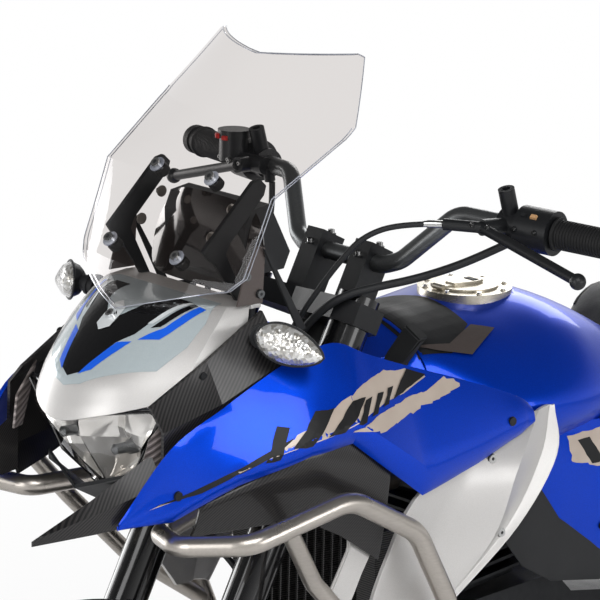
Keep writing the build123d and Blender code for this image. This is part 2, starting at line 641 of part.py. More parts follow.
# Side stand: hinge axis square to its folded and its standing leg
SIDE_PIVOT = Vector(0, 150, 285)
SIDE_FOLDED = Vector(-0.996, 0.02, -0.087).normalized()
SIDE_STANDING = Vector(0.12, 0.42, -0.90).normalized()
SIDE_AXIS = SIDE_FOLDED.cross(SIDE_STANDING).normalized()
SIDE_LENGTH = 275.0
SIDE_PIN = 6.0
with BuildPart() as frame:
    rod(steer_point(0, 0, HEAD_TUBE_LOW), steer_point(0, 0, HEAD_TUBE_HIGH), HEAD_TUBE_RADIUS)
    for side in (1, -1):
        # Main rail from the head to the swing-arm pivot
        bent_tube(
            [(425, side * 14, 838), (300, side * 95, 762), (0, side * 125, 690),
             (POST_X, side * PIVOT_PLATE_Y, PIVOT_Z + 60), (POST_X, side * PIVOT_PLATE_Y, 290)],
            60, FRAME_TUBE,
        )
        # Down tube and cradle rail
        bent_tube(
            [(434, side * 12, 814), (372, side * 45, 700), (342, side * 92, 545), (318, side * CRADLE_Y, 330),
             (250, side * CRADLE_Y, CRADLE_Z), (-60, side * CRADLE_Y, CRADLE_Z),
             (POST_X, side * PIVOT_PLATE_Y, 300)],
            45, FRAME_TUBE,
        )
        # Bosses for the crash bars, the radiator, the tank and the engine
        rod((CRASH_BOSS[0], side * 94, CRASH_BOSS[2]), (CRASH_BOSS[0], side * CRASH_BOSS[1], CRASH_BOSS[2]), 14)
        radiator_seat = RADIATOR_LOW[0] - SEAT_GAP
        rod((366, side * 55, 668), (radiator_seat, side * 55, 668), 8)
        rod((345, side * 86, 560), (radiator_seat, side * 86, 560), 8)
        rod((300, side * 98, 765), (300, side * 98, 795.9), 12)
        for x in (-20, 190):
            rod((x, side * 84, CRADLE_Z), (x, side * 84, ENGINE_LOW - SEAT_GAP), 11)
        # Ears and pin that carry the centre stand
        prism_y(
            [(POST_X + 8, 290), (POST_X + 8, 326), (STAND_PIVOT_X - 8, 318), (STAND_PIVOT_X - 16, 300),
             (STAND_PIVOT_X - 6, 285)],
            min(side * STAND_EAR_Y, side * (STAND_EAR_Y + STAND_EAR_THICK)),
            max(side * STAND_EAR_Y, side * (STAND_EAR_Y + STAND_EAR_THICK)),
        )
        rod(
            (STAND_PIVOT_X, side * 102, STAND_PIVOT_Z),
            (STAND_PIVOT_X, side * (STAND_EAR_Y + 2), STAND_PIVOT_Z), STAND_PIN,
        )
    for x, z, half in ((POST_X, 310, PIVOT_PLATE_Y), (60, CRADLE_Z, CRADLE_Y)):
        rod((x, -half, z), (x, half, z), FRAME_TUBE - 3)
    rod((PIVOT_X, -PIVOT_PLATE_Y - 14, PIVOT_Z), (PIVOT_X, PIVOT_PLATE_Y + 14, PIVOT_Z), PIVOT_PIN)
    # Side stand bracket and pin
    rod(SIDE_PIVOT + SIDE_AXIS * 12.3, SIDE_PIVOT + SIDE_AXIS * 46, 14)
    rod(SIDE_PIVOT - SIDE_AXIS * 15, SIDE_PIVOT + SIDE_AXIS * 20, SIDE_PIN)
    rod(
        steer_point(0, 0, HEAD_TUBE_LOW - 1), steer_point(0, 0, HEAD_TUBE_HIGH + 1),
        STEM_RADIUS + STEM_CLEARANCE, mode=Mode.SUBTRACT,
    )
write(frame, "frame")

# Subframe rails: (x, y, z) of the upper and the lower run
RAIL_TOP = [(-20, 112, 712), (-260, 112, 782), (-560, 105, 868), (-830, 70, 905)]
RAIL_LOW = [(PIVOT_X - 35, 124, 470), (-330, 122, 640), (-560, 105, 858)]
SHOCK_TOP = (-195.0, 763.0)
with BuildPart() as subframe:
    for side in (1, -1):
        for run in (RAIL_TOP, RAIL_LOW):
            bent_tube([(x, side * y, z) for x, y, z in run], 80, SUBFRAME_TUBE)
        rod((-42, side * 101, 722), (-42, side * 101, 763.0), 9)
        rod((PIVOT_X, side * 120.4, 470), (PIVOT_X - 35, side * 122, 470), SUBFRAME_TUBE - 1)
    for x, z, half in ((SHOCK_TOP[0], SHOCK_TOP[1], 112), (-800, 900, 76)):
        rod((x, -half, z), (x, half, z), SUBFRAME_TUBE - 2)
write(subframe, "subframe")

# Narrow stay that passes between the fork legs to carry the nose
NOSE_STAY_HALF = 10.0
NOSE_FACE_X = 640.0
with BuildPart() as nose_stay:
    prism_y(
        [(445, 850), (560, 868), (NOSE_FACE_X - SEAT_GAP, 838), (NOSE_FACE_X - SEAT_GAP, 866), (600, 905),
         (560, 935), (420, 905)],
        -NOSE_STAY_HALF, NOSE_STAY_HALF,
    )
    for side in (1, -1):
        bent_tube([(602, side * 4, 880), (612, side * 100, 880), (608, side * 106, 1000)], 40, 8)
        rod((606, side * 40, 996), (574, side * 40, 996), 6)
        rod((578, side * 40, 992), (578, side * 40, 1026.2), 5)
        rod((606, side * 80, 996.4), (646, side * 80, 996.4), 3.2)
    rod((606, -106, 996), (606, 106, 996), 7)
    rod(
        steer_point(0, 0, HEAD_TUBE_LOW - 40), steer_point(0, 0, HEAD_TUBE_HIGH + 40),
        HEAD_TUBE_RADIUS + SEAT_GAP, mode=Mode.SUBTRACT,
    )
write(nose_stay, "nose_stay")

# ================================================================ engine and exhaust
CASE_HALF = 86.0
with BuildPart() as engine_case:
    prism_y(
        [(-130, 330), (-100, ENGINE_LOW), (230, ENGINE_LOW), (290, 350), (295, 440), (250, 520), (245, 560),
         (70, 575), (40, 545), (-60, 530), (-118, 470)],
        -CASE_HALF, CASE_HALF,
    )
    block((-140, CHAIN_Y - CHAIN_WIDTH, 340), (-32, CASE_HALF + 1, 462), mode=Mode.SUBTRACT)
    rod((PIVOT_X, -90, PIVOT_Z), (PIVOT_X, 90, PIVOT_Z), 60, mode=Mode.SUBTRACT)
write(engine_case, "engine_case")

CYLINDER_X = 160.0
CYLINDER_LEAN = 8.0
CYLINDER_BASE_Z = 570.0
FIN_COUNT = 8
FIN_PITCH = 15.0
FIN_THICK = 4.0
CYL_PLANE = Plane(
    origin=(CYLINDER_X, 0, CYLINDER_BASE_Z),
    x_dir=(cos(radians(CYLINDER_LEAN)), 0, -sin(radians(CYLINDER_LEAN))),
    z_dir=(sin(radians(CYLINDER_LEAN)), 0, cos(radians(CYLINDER_LEAN))),
)
with BuildPart() as cylinder:
    with BuildSketch(CYL_PLANE):
        RectangleRounded(112, 108, 18)
    extrude(amount=168)
    for i in range(FIN_COUNT):
        with BuildSketch(CYL_PLANE.offset(14 + i * FIN_PITCH)):
            RectangleRounded(148, 142, 22)
        extrude(amount=FIN_THICK)
    with BuildSketch(CYL_PLANE.offset(140)):
        RectangleRounded(150, 136, 20)
    extrude(amount=36)
    with BuildSketch(CYL_PLANE.offset(176)):
        RectangleRounded(128, 118, 16)
    extrude(amount=22)
    prism_y(
        [(0, 400), (400, 400), (400, 560), (245, 560 + SEAT_GAP), (70, 575 + SEAT_GAP), (0, 575)],
        -100, 100, mode=Mode.SUBTRACT,
    )
write(cylinder, "cylinder")

# Side covers: (x, z, radius, side, depth)
COVER_ROWS = [
    (185, 420, 88, 1, 46), (185, 420, 74, 1, 58), (40, 440, 62, 1, 30),
    (170, 420, 95, -1, 44), (170, 420, 82, -1, 56), (30, 400, 70, -1, 30),
]
with BuildPart() as engine_covers:
    for x, z, radius, side, depth in COVER_ROWS:
        rod((x, side * (CASE_HALF + SEAT_GAP), z), (x, side * (CASE_HALF + depth), z), radius)
write(engine_covers, "engine_covers")

PIPE_RADIUS = 19.0
MUFFLER_RADIUS = 48.0
MUFFLER_START = (-330, -182, 425)
MUFFLER_END = (-800, -200, 590)
HANGER_Y = -142.0
with BuildPart() as exhaust:
    bent_tube(
        [(262, -20, 712), (322, -20, 706), (326, -24, 540), (384, -70, 446), (376, -132, 352),
         (262, -160, 262), (0, -168, 262), (-150, -188, 350), MUFFLER_START],
        38, PIPE_RADIUS,
    )
    rod(MUFFLER_START, (-360, -183, 436), 30)
    rod((-358, -183, 435), MUFFLER_END, MUFFLER_RADIUS)
    # Bored tail pipe
    muffler_way = (Vector(*MUFFLER_END) - Vector(*MUFFLER_START)).normalized()
    rod(Vector(*MUFFLER_END) - muffler_way * 60, Vector(*MUFFLER_END) + muffler_way, 17, mode=Mode.SUBTRACT)
    # Hanger up to the subframe
    prism_y([(-462, 480), (-404, 462), (-380, 700), (-402, 714)], HANGER_Y - 6, HANGER_Y)
    rod((-393, HANGER_Y - 1, 700), (-393, -128.8, 700), 8)
write(exhaust, "exhaust")

with BuildPart() as skid_plate:
    prism_y(
        [(-70, 248.7), (250, 248.7), (338, 318), (352, 336), (349, 339), (335, 321), (248, 252.7), (-70, 252.7)],
        -88, 88,
    )
write(skid_plate, "skid_plate")

# Radiator: a finned core between two side tanks
CORE_HALF = 104.0
CORE_FINS = 13
FIN_WALL = 2.0
with BuildPart() as radiator:
    block(RADIATOR_LOW, RADIATOR_HIGH)
    fin_run = 2 * CORE_HALF / CORE_FINS
    for front, back in ((RADIATOR_HIGH[0] - 9, RADIATOR_HIGH[0] + 1), (RADIATOR_LOW[0] - 1, RADIATOR_LOW[0] + 6)):
        for i in range(CORE_FINS):
            y = -CORE_HALF + i * fin_run
            block(
                (front, y + FIN_WALL / 2, RADIATOR_LOW[2] + 12), (back, y + fin_run - FIN_WALL / 2, RADIATOR_HIGH[2] - 12),
                mode=Mode.SUBTRACT,
            )
    for side in (1, -1):
        rod((411, side * 118, RADIATOR_HIGH[2] - 1), (411, side * 118, RADIATOR_HIGH[2] + 14), 11)
write(radiator, "radiator")

# ================================================================ swing arm, shock, stands
ARM_CROSS_X = REAR_AXLE_X + REAR_TYRE_RADIUS + 63.0
ARM_CROSS_TOP = 420.0
SHOCK_FOOT = (ARM_CROSS_X + 25.0, ARM_CROSS_TOP + 18.0)
REAR_CALIPER_X = REAR_AXLE_X + 0.78 * REAR_DISC_RADIUS
REAR_CALIPER_Z = REAR_AXLE_Z + 0.62 * REAR_DISC_RADIUS
with BuildPart() as swingarm:
    for side in (1, -1):
        prism_y(
            [(PIVOT_X + 34, PIVOT_Z - 24), (PIVOT_X + 34, PIVOT_Z + 24), (PIVOT_X - 110, 432),
             (REAR_AXLE_X + 117, REAR_AXLE_Z + 50), (REAR_AXLE_X - 48, REAR_AXLE_Z + 26),
             (REAR_AXLE_X - 48, REAR_AXLE_Z - 26), (REAR_AXLE_X + 117, REAR_AXLE_Z - 16), (PIVOT_X - 150, 356)],
            side * ARM_Y - ARM_WIDTH / 2, side * ARM_Y + ARM_WIDTH / 2,
        )
        # Clevis cheek for the shock's foot
        prism_y(
            [(SHOCK_FOOT[0] - 18, ARM_CROSS_TOP - 4), (SHOCK_FOOT[0] - 12, SHOCK_FOOT[1] + 12),
             (SHOCK_FOOT[0] + 12, SHOCK_FOOT[1] + 12), (SHOCK_FOOT[0] + 18, ARM_CROSS_TOP - 4)],
            side * 26 - 4, side * 26 + 4,
        )
    rod((PIVOT_X, -ARM_Y, PIVOT_Z), (PIVOT_X, ARM_Y, PIVOT_Z), 24)
    block((ARM_CROSS_X, -ARM_Y, 380), (ARM_CROSS_X + 50, ARM_Y, ARM_CROSS_TOP))
    rod((SHOCK_FOOT[0], -24, SHOCK_FOOT[1]), (SHOCK_FOOT[0], 24, SHOCK_FOOT[1]), 6)
    axle_half = ARM_Y + ARM_WIDTH / 2 + 8
    rod((REAR_AXLE_X, -axle_half, REAR_AXLE_Z), (REAR_AXLE_X, axle_half, REAR_AXLE_Z), AXLE_RADIUS)
    # Rear brake caliper over the disc
    block(
        (REAR_CALIPER_X - 30, REAR_DISC_Y - 22, REAR_CALIPER_Z - 28),
        (REAR_CALIPER_X + 34, REAR_DISC_Y + 18, REAR_CALIPER_Z + 24),
    )
    block(
        (REAR_CALIPER_X - 24, -ARM_Y + ARM_WIDTH / 2 - 2, REAR_CALIPER_Z - 40),
        (REAR_CALIPER_X + 28, REAR_DISC_Y - 20, REAR_CALIPER_Z + 8),
    )
    slot_half = DISC_THICK / 2 + DISC_CLEARANCE
    rod(
        (REAR_AXLE_X, REAR_DISC_Y - slot_half, REAR_AXLE_Z), (REAR_AXLE_X, REAR_DISC_Y + slot_half, REAR_AXLE_Z),
        REAR_DISC_RADIUS + DISC_CLEARANCE, bore=DISC_HUB_RADIUS, mode=Mode.SUBTRACT,
    )
    rod(
        (PIVOT_X, -PIVOT_PLATE_Y, PIVOT_Z), (PIVOT_X, PIVOT_PLATE_Y, PIVOT_Z),
        PIVOT_PIN + RUNNING_FIT, mode=Mode.SUBTRACT,
    )
write(swingarm, "swingarm")

# Shock: eyes on the swing arm's pin and the subframe's cross tube, with a coil between
COIL_COUNT = 8
COIL_RADIUS = 32.0
with BuildPart() as shock:
    foot_eye = Vector(SHOCK_FOOT[0], 0, SHOCK_FOOT[1])
    top_eye = Vector(SHOCK_TOP[0], 0, SHOCK_TOP[1])
    strut = (top_eye - foot_eye).normalized()
    rod(foot_eye, top_eye, 16)
    for eye in (foot_eye, top_eye):
        rod(eye - Vector(0, 20, 0), eye + Vector(0, 20, 0), 17.5)
    coil_pitch = 190 / COIL_COUNT
    for i in range(COIL_COUNT):
        start = foot_eye + strut * (50 + i * coil_pitch)
        rod(start, start + strut * (coil_pitch * 0.55), COIL_RADIUS)
    rod(foot_eye + strut * 240, foot_eye + strut * 300, COIL_RADIUS + 2)
    rod(foot_eye + strut * 44, foot_eye + strut * 50.5, COIL_RADIUS + 2)
    rod(foot_eye - Vector(0, 30, 0), foot_eye + Vector(0, 30, 0), 6 + RUNNING_FIT, mode=Mode.SUBTRACT)
    rod(
        top_eye - Vector(0, 30, 0), top_eye + Vector(0, 30, 0),
        SUBFRAME_TUBE - 2 + RUNNING_FIT, mode=Mode.SUBTRACT,
    )
write(shock, "shock")

# Centre stand: feet stand ahead of the pivot, so the weight holds it on its stop
STAND_FOOT_X = -165.0
STAND_FOOT_Y = 152.0
with BuildPart() as centre_stand:
    for side in (1, -1):
        rod((STAND_PIVOT_X, side * 104, STAND_PIVOT_Z), (STAND_PIVOT_X, side * 132, STAND_PIVOT_Z), 17)
        bent_tube(
            [(STAND_PIVOT_X, side * 118, STAND_PIVOT_Z), (-190, side * 124, 200),
             (STAND_FOOT_X, side * STAND_FOOT_Y, 6)],
            90, STAND_TUBE,
        )
        block(
            (STAND_FOOT_X - 34, side * STAND_FOOT_Y - 20, 0),
            (STAND_FOOT_X + 30, side * STAND_FOOT_Y + 20, 9),
        )
    rod((-195, -122, 225), (-195, 122, 225), STAND_TUBE - 1)
    rod(
        (STAND_PIVOT_X, -STAND_EAR_Y, STAND_PIVOT_Z), (STAND_PIVOT_X, STAND_EAR_Y, STAND_PIVOT_Z),
        STAND_PIN + RUNNING_FIT, mode=Mode.SUBTRACT,
    )
write(centre_stand, "centre_stand")

# Side stand: folded back along the left side
with BuildPart() as side_stand:
    foot = SIDE_PIVOT + SIDE_FOLDED * SIDE_LENGTH
    rod(SIDE_PIVOT, foot, 10)
    rod(SIDE_PIVOT - SIDE_AXIS * 12, SIDE_PIVOT + SIDE_AXIS * 12, 18)
    block((foot.X - 22, foot.Y - 16, foot.Z - 26), (foot.X + 14, foot.Y + 18, foot.Z + 26))
    rod(SIDE_PIVOT - SIDE_AXIS * 20, SIDE_PIVOT + SIDE_AXIS * 20, SIDE_PIN + RUNNING_FIT, mode=Mode.SUBTRACT)
write(side_stand, "side_stand")

# Rider's pegs, pillion pegs, brake pedal and shift lever
PEG_Z = 386.0
PEG_X = -118.0
PEG_LENGTH = 112.0
POST_SIDE = PIVOT_PLATE_Y + FRAME_TUBE
SHIFT_SHAFT = (-30.0, 362.0)
with BuildPart() as foot_controls:
    for side in (1, -1):
        root = side * (POST_SIDE + SEAT_GAP)
        low, high = sorted((root, root + side * 10))
        block((POST_X - 8, low, PEG_Z - 10), (PEG_X + 22, high, PEG_Z + 14))
        rod((PEG_X, root + side * 8, PEG_Z), (PEG_X, root + side * 22, PEG_Z), 10)
        low, high = sorted((root + side * 20, root + side * PEG_LENGTH))
        block((PEG_X - 22, low, PEG_Z - 8), (PEG_X + 22, high, PEG_Z + 8))
        # Pillion peg on its plate under the subframe
        low, high = sorted((side * (122 + SUBFRAME_TUBE + SEAT_GAP), side * (122 + SUBFRAME_TUBE + 6)))
        prism_y([(-318, 640), (-352, 664), (-350, 540), (-312, 540)], low, high)
        rod((-330, side * 136, 552), (-330, side * 152, 552), 9)
        rod((-330, side * 150, 552), (-330, side * 226, 552), 12)
    # Shift lever on the left, brake pedal on the right
    rod((SHIFT_SHAFT[0], CASE_HALF + SEAT_GAP, SHIFT_SHAFT[1]), (SHIFT_SHAFT[0], 166, SHIFT_SHAFT[1]), 7)
    rod((SHIFT_SHAFT[0], 160, SHIFT_SHAFT[1]), (112, 168, 340), 6)
    rod((112, 162, 340), (112, 205, 340), 9)
    brake_root = -(POST_SIDE + 6)
    rod((PEG_X + 14, brake_root, PEG_Z + 4), (96, -178, 372), 7)
    block((84, -205, 364), (116, -165, 380))
write(foot_controls, "foot_controls")

# ================================================================ bodywork
# (x, top z, shoulder y, shoulder z, belly y, belly z, bottom y, bottom z, tunnel half width)
TANK_ROWS = [
    (384, 892, 36, 886, 58, 866, 54, 822, 42),
    (320, 930, 84, 900, 112, 856, 106, 804, 70),
    (270, 934, 104, 904, 176, 852, 168, 792, 76),
    (200, 938, 118, 914, 196, 845, 175, 775, 78),
    (120, 944, 118, 920, 190, 835, 150, 765, 78),
    (40, 918, 95, 900, 160, 830, 130, 760, 78),
    (-60, 862, 70, 856, 112, 815, 100, 765, 78),
]
TUNNEL_RISE = 44.0
CAP_X = 165.0
CAP_Z = 948.0
CAP_RING_RADIUS = 60.0
CAP_RING_THICK = 12.0
CAP_LID_RADIUS = 42.0
CAP_HINGE_X = CAP_X + CAP_LID_RADIUS + 2.0
CAP_HINGE_Z = CAP_Z + 4.0
with BuildPart() as fuel_tank:
    for x, top_z, sy, sz, by, bz, ly, lz, tunnel in TANK_ROWS:
        with BuildSketch(Plane.YZ.offset(x)):
            with BuildLine():
                Polyline(
                    (0, top_z), (sy, sz), (by, bz), (ly, lz), (tunnel, lz), (tunnel, lz + TUNNEL_RISE),
                    (-tunnel, lz + TUNNEL_RISE), (-tunnel, lz), (-ly, lz), (-by, bz), (-sy, sz),
                    close=True,
                )
            make_face()
    loft(ruled=True)
    rod(steer_point(0, 0, 780), steer_point(0, 0, 1100), HEAD_TUBE_RADIUS + 8, mode=Mode.SUBTRACT)
    # Room for the main rails where they spread under the tank
    for side in (1, -1):
        rod((440, side * 4, 848), (290, side * 100, 757), FRAME_TUBE + 3, mode=Mode.SUBTRACT)
    cap_floor = CAP_Z - CAP_RING_THICK - SEAT_GAP
    rod((CAP_X, 0, cap_floor), (CAP_X, 0, CAP_Z + 40), CAP_RING_RADIUS + SEAT_GAP, mode=Mode.SUBTRACT)
write(fuel_tank, "fuel_tank")

with BuildPart() as filler_ring:
    rod((CAP_X, 0, CAP_Z - CAP_RING_THICK), (CAP_X, 0, CAP_Z), CAP_RING_RADIUS, bore=CAP_LID_RADIUS + 1)
write(filler_ring, "filler_ring")
with BuildPart() as fuel_cap:
    rod((CAP_X, 0, CAP_Z - 6), (CAP_X, 0, CAP_Z + 3), CAP_LID_RADIUS)
    block((CAP_X + 20, -7, CAP_Z + 1), (CAP_HINGE_X, 7, CAP_Z + 5))
    rod((CAP_HINGE_X, -9, CAP_HINGE_Z), (CAP_HINGE_X, 9, CAP_HINGE_Z), 3.5)
write(fuel_cap, "fuel_cap")

# Seat sections: (x, top z, half width, bottom z, edge fall)
SEAT_ROWS = [
    [(-62, 884, 72, 800, 26), (-140, 902, 108, 800, 26), (-300, 890, 150, 812, 26), (-420, 896, 158, 848, 26)],
    [(-420.3, 940, 135, 880, 22), (-560, 952, 135, 885, 22), (-700, 950, 100, 915, 22)],
]
# Rubber feet under the seat: (x, y, half length, bottom z, top z)
SEAT_FEET = [(-365, 111, 15, 828.2, 850), (-620, 96, 18, 890.6, 920)]
with BuildPart() as seat:
    for rows in SEAT_ROWS:
        sections = []
        for x, top_z, half, low, fall in rows:
            with BuildSketch(Plane.YZ.offset(x)) as section:
                with BuildLine():
                    Polyline(
                        (-half + 28, top_z), (half - 28, top_z), (half, top_z - fall), (half, low), (-half, low),
                        (-half, top_z - fall), close=True,
                    )
                make_face()
            sections.append(section.sketch)
        loft(sections, ruled=True)
    for x, y, half, low, high in SEAT_FEET:
        for side in (1, -1):
            block((x - half, side * y - 10, low), (x + half, side * y + 10, high))
write(seat, "seat")

PANEL_WALL = 5.0
# Shroud sections: (x, top, crease, bottom) of the outer face, each (y, z)
SHROUD_ROWS = [
    (826, (142, 780), (143, 777), (140, 772)),
    (770, (165, 864), (178, 798), (172, 780)),
    (620, (187, 949), (245, 872), (240, 850)),
    (560, (200, 968), (252, 884), (242, 856)),
    (455, (208, 929), (258, 814), (250, 778)),
    (257, (222, 860), (232, 832), (228, 824)),
]
with BuildPart() as shrouds:
    side_panel(SHROUD_ROWS, PANEL_WALL)
    # Boss to the tank's widest line
    rod((268, 179.4, 850), (268, 224, 850), 8)
    mirror(about=Plane.XZ)
write(shrouds, "shrouds")

with BuildPart() as radiator_panels:
    flank_panel(
        [
            (842, (282, 212), (240, 214), (200, 206)),
            (780, (446, 240), (300, 240), (200, 208)),
            (700, (488, 228), (330, 236), (262, 212)),
            (620, (500, 210), (400, 220), (360, 204)),
            (560, (470, 194), (440, 195), (420, 189)),
        ],
        PANEL_WALL,
    )
    # Stays to the radiator's side tank and the tank's flank
    rod((409, RADIATOR_HIGH[1] + SEAT_GAP, 610), (409, 214, 610), 7)
    rod((236, 187.6, 832), (236, 210, 832), 8)
    mirror(about=Plane.XZ)
write(radiator_panels, "radiator_panels")

with BuildPart() as shroud_liners:
    # The upper edge lies just inside the shroud's lower edge
    liner_rows = [
        (740, (180.0, 796), (182, 786), (168, 755)),
        (620, (234.6, 853), (236, 838), (220, 770)),
        (560, (236.6, 859), (240, 819), (224, 740)),
        (500, (241.0, 814), (242, 800), (226, 700)),
    ]
    side_panel(liner_rows, PANEL_WALL)
    mirror(about=Plane.XZ)
write(shroud_liners, "shroud_liners")

with BuildPart() as side_covers:
    side_panel(
        [
            (150, (172, 760), (176, 730), (168, 640)),
            (60, (172, 748), (182, 700), (166, 600)),
            (-120, (160, 770), (176, 720), (160, 620)),
            (-300, (158, 796), (164, 780), (160, 740)),
        ],
        PANEL_WALL,
    )
    rod((-200, 112 + SUBFRAME_TUBE + SEAT_GAP, 765), (-200, 160, 765), 8)
    rod((60, 121 + FRAME_TUBE + SEAT_GAP, 704), (60, 178, 704), 8)
    mirror(about=Plane.XZ)
write(side_covers, "side_covers")

# Headlamp body and the silver cowl round it
with BuildPart() as headlight:
    prism_x(
        [(0, 868), (104, 884), (112, 868), (76, 808), (0, 782), (-76, 808), (-112, 868), (-104, 884)],
        NOSE_FACE_X, 790,
    )
    prism_y([(845, 900), (812, 900), (800, 868), (742, 780), (742, 760), (845, 760)], -200, 200, mode=Mode.SUBTRACT)
write(headlight, "headlight")

# Cowl sections: (z, centre x, corner x, corner y, rear x, rear y)
COWL_ROWS = [
    (872, 812, 782, 118, 690, 124),
    (926, 790, 758, 118, 660, 126),
    (985, 728, 700, 112, 625, 126),
    (1004, 700, 672, 100, 618, 120),
]
COWL_WALL = 8.0
COWL_SIDE = 5.0
with BuildPart() as nose_cowl:
    outer_faces = []
    inner_faces = []
    for row, (z, cx, kx, ky, rx, ry) in enumerate(COWL_ROWS):
        with BuildSketch(Plane.XY.offset(z)) as outer_face:
            with BuildLine():
                Polyline((cx, 0), (kx, ky), (rx, ry), (rx, -ry), (kx, -ky), close=True)
            make_face()
        outer_faces.append(outer_face.sketch)
        inner_z = z - 1 if row == 0 else z - 4 if row == len(COWL_ROWS) - 1 else z
        with BuildSketch(Plane.XY.offset(inner_z)) as inner_face:
            with BuildLine():
                Polyline(
                    (cx - COWL_WALL, 0), (kx - COWL_WALL, ky - COWL_SIDE), (rx - 10, ry - COWL_SIDE),
                    (rx - 10, COWL_SIDE - ry), (kx - COWL_WALL, COWL_SIDE - ky), close=True,
                )
            make_face()
        inner_faces.append(inner_face.sketch)
    loft(outer_faces, ruled=True)
    loft(inner_faces, ruled=True, mode=Mode.SUBTRACT)
    prism_x(
        [(0, 874), (116, 910), (200, 910), (200, 800), (-200, 800), (-200, 910), (-116, 910)],
        600, 900, mode=Mode.SUBTRACT,
    )
write(nose_cowl, "nose_cowl")

with BuildPart() as nose_sides:
    side_panel(
        [
            (768, (125, 905), (150, 880), (152, 800)),
            (690, (130, 950), (160, 905), (165, 810)),
            (610, (133, 1000), (178, 950), (182, 900)),
        ],
        PANEL_WALL,
    )
    # Stay from the nose frame's upright
    rod((614, 111.8, 950), (614, 175, 950), 6)
    mirror(about=Plane.XZ)
write(nose_sides, "nose_sides")

# Beak prong sections: (x, top z, low z, outer y, inner y)
BEAK_ROWS = [(912, 762, 756, 97, 92), (850, 806, 768, 132, 120), (768.3, 850, 776, 150, 128)]
with BuildPart() as beak_wings:
    for x, top, low, out, into in BEAK_ROWS:
        with BuildSketch(Plane.YZ.offset(x)):
            with BuildLine():
                Polyline((into, top), (out, (top + low) / 2 + 6), (out - 4, low), (into, low), close=True)
            make_face()
    loft(ruled=True)
    mirror(about=Plane.XZ)
write(beak_wings, "beak_wings")

# Windscreen: plan arcs at five heights, cut to its outline from the front
SCREEN_WALL = 4.0
SCREEN_ROWS = [
    (985, 728, 655, 158), (1041, 703, 650, 158), (1137, 632, 617, 158), (1206, 569, 514, 175), (1290, 507, 440, 150),
]
SCREEN_OUTLINE = [
    (0, 993), (116, 1026), (136, 1030), (150, 1046), (154, 1137), (170, 1200), (170, 1212), (130, 1285), (122, 1288),
    (0, 1277),
]
with BuildPart() as windscreen:
    for z, cx, ex, ey in SCREEN_ROWS:
        with BuildSketch(Plane.XY.offset(z)):
            with BuildLine():
                ThreePointArc((ex, -ey), (cx, 0), (ex, ey))
                Line((ex, ey), (ex - SCREEN_WALL - 1.5, ey))
                ThreePointArc((ex - SCREEN_WALL - 1.5, ey), (cx - SCREEN_WALL - 1.5, 0), (ex - SCREEN_WALL - 1.5, -ey))
                Line((ex - SCREEN_WALL - 1.5, -ey), (ex, -ey))
            make_face()
    loft(ruled=True)
    prism_x(
        SCREEN_OUTLINE + [(-y, z) for y, z in reversed(SCREEN_OUTLINE[1:-1])], 400, 800, mode=Mode.INTERSECT
    )
write(windscreen, "windscreen")

BRACKET_Y = 62.0
with BuildPart() as screen_brackets:
    for side in (1, -1):
        prism_y(
            [(660.6, 1060), (668.1, 1070.1), (594.6, 1144.6), (582.6, 1148.6), (576, 1136), (604, 1090), (600, 1003.3),
             (612, 1003.3)],
            side * BRACKET_Y - 3, side * BRACKET_Y + 3,
        )
write(screen_brackets, "screen_brackets")

with BuildPart() as instrument:
    prism_y([(530, 1030), (588, 1026.5), (591, 1085), (582, 1106), (554, 1111), (521, 1050)], -76, 76)
write(instrument, "instrument")

with BuildPart() as indicators:
    for side in (1, -1):
        rod((628, side * 154.4, 976), (632, side * 198, 977), 10.5)
        prism_y([(600, 980), (640, 998), (672, 984), (668, 966), (630, 958)], side * 221 - 25, side * 221 + 25)
write(indicators, "indicators")

# One loop across the nose and down to the down tubes, with a brace on each side
CRASH_LOOP = [
    (CRASH_BOSS[0], 124, CRASH_BOSS[2]), (396, 200, 492), (420, 265, 640), (480, 270, 742), (587, 272, 800),
    (728, 262, 766), (778, 190, 756), (752, 125, 752), (652, 90, 762),
]
CRASH_BENDS = [26.0, 60.0, 60.0, 60.0, 40.0, 32.0, 30.0, 34.0]
CRASH_BRACE = [(676, 265.5, 778.5), (610, 236, 694), (520, 228, 604), (402, 214.5, 525)]
with BuildPart() as crash_bars:
    loop_points = CRASH_LOOP + [both_sides(p) for p in reversed(CRASH_LOOP)]
    bent_tube(loop_points, CRASH_BENDS + CRASH_BENDS[::-1], CRASH_TUBE)
    for side in (1, -1):
        bent_tube([(x, side * y, z) for x, y, z in CRASH_BRACE], 50, CRASH_TUBE - 1.5)
        rod(
            (CRASH_BOSS[0], side * (CRASH_BOSS[1] + SEAT_GAP), CRASH_BOSS[2]),
            (CRASH_BOSS[0], side * 136, CRASH_BOSS[2]), 16,
        )
write(crash_bars, "crash_bars")

# ================================================================ tail
RACK_X = -820.0
RACK_Z = 962.0
RACK_THICK = 6.0
RACK_HOLE = 4.2
RACK_HOLES_X = 110.0
RACK_HOLES_Y = 130.0
RACK_FOOT_X = -728.0
with BuildPart() as rear_rack:
    for side in (1, -1):
        rod((RACK_FOOT_X, side * 95.8, 891), (RACK_FOOT_X, side * 120, 891), 9)
        bent_tube(
            [(RACK_FOOT_X, side * 116, 889), (-736, side * 126, 930), (-775, side * 120, 966), (-930, side * 112, 966)],
            24, 9,
        )
    with BuildSketch(Plane.XY.offset(RACK_Z)) as plate:
        with Locations((RACK_X, 0)):
            RectangleRounded(170, 222, 16)
            with Locations((0, 0)):
                SlotOverall(96, 30, mode=Mode.SUBTRACT)
            with Locations((0, 42), (0, -42)):
                SlotOverall(70, 22, mode=Mode.SUBTRACT)
            with GridLocations(RACK_HOLES_X, RACK_HOLES_Y, 2, 2):
                Circle(RACK_HOLE, mode=Mode.SUBTRACT)
    extrude(plate.sketch, amount=RACK_THICK)
write(rear_rack, "rear_rack")

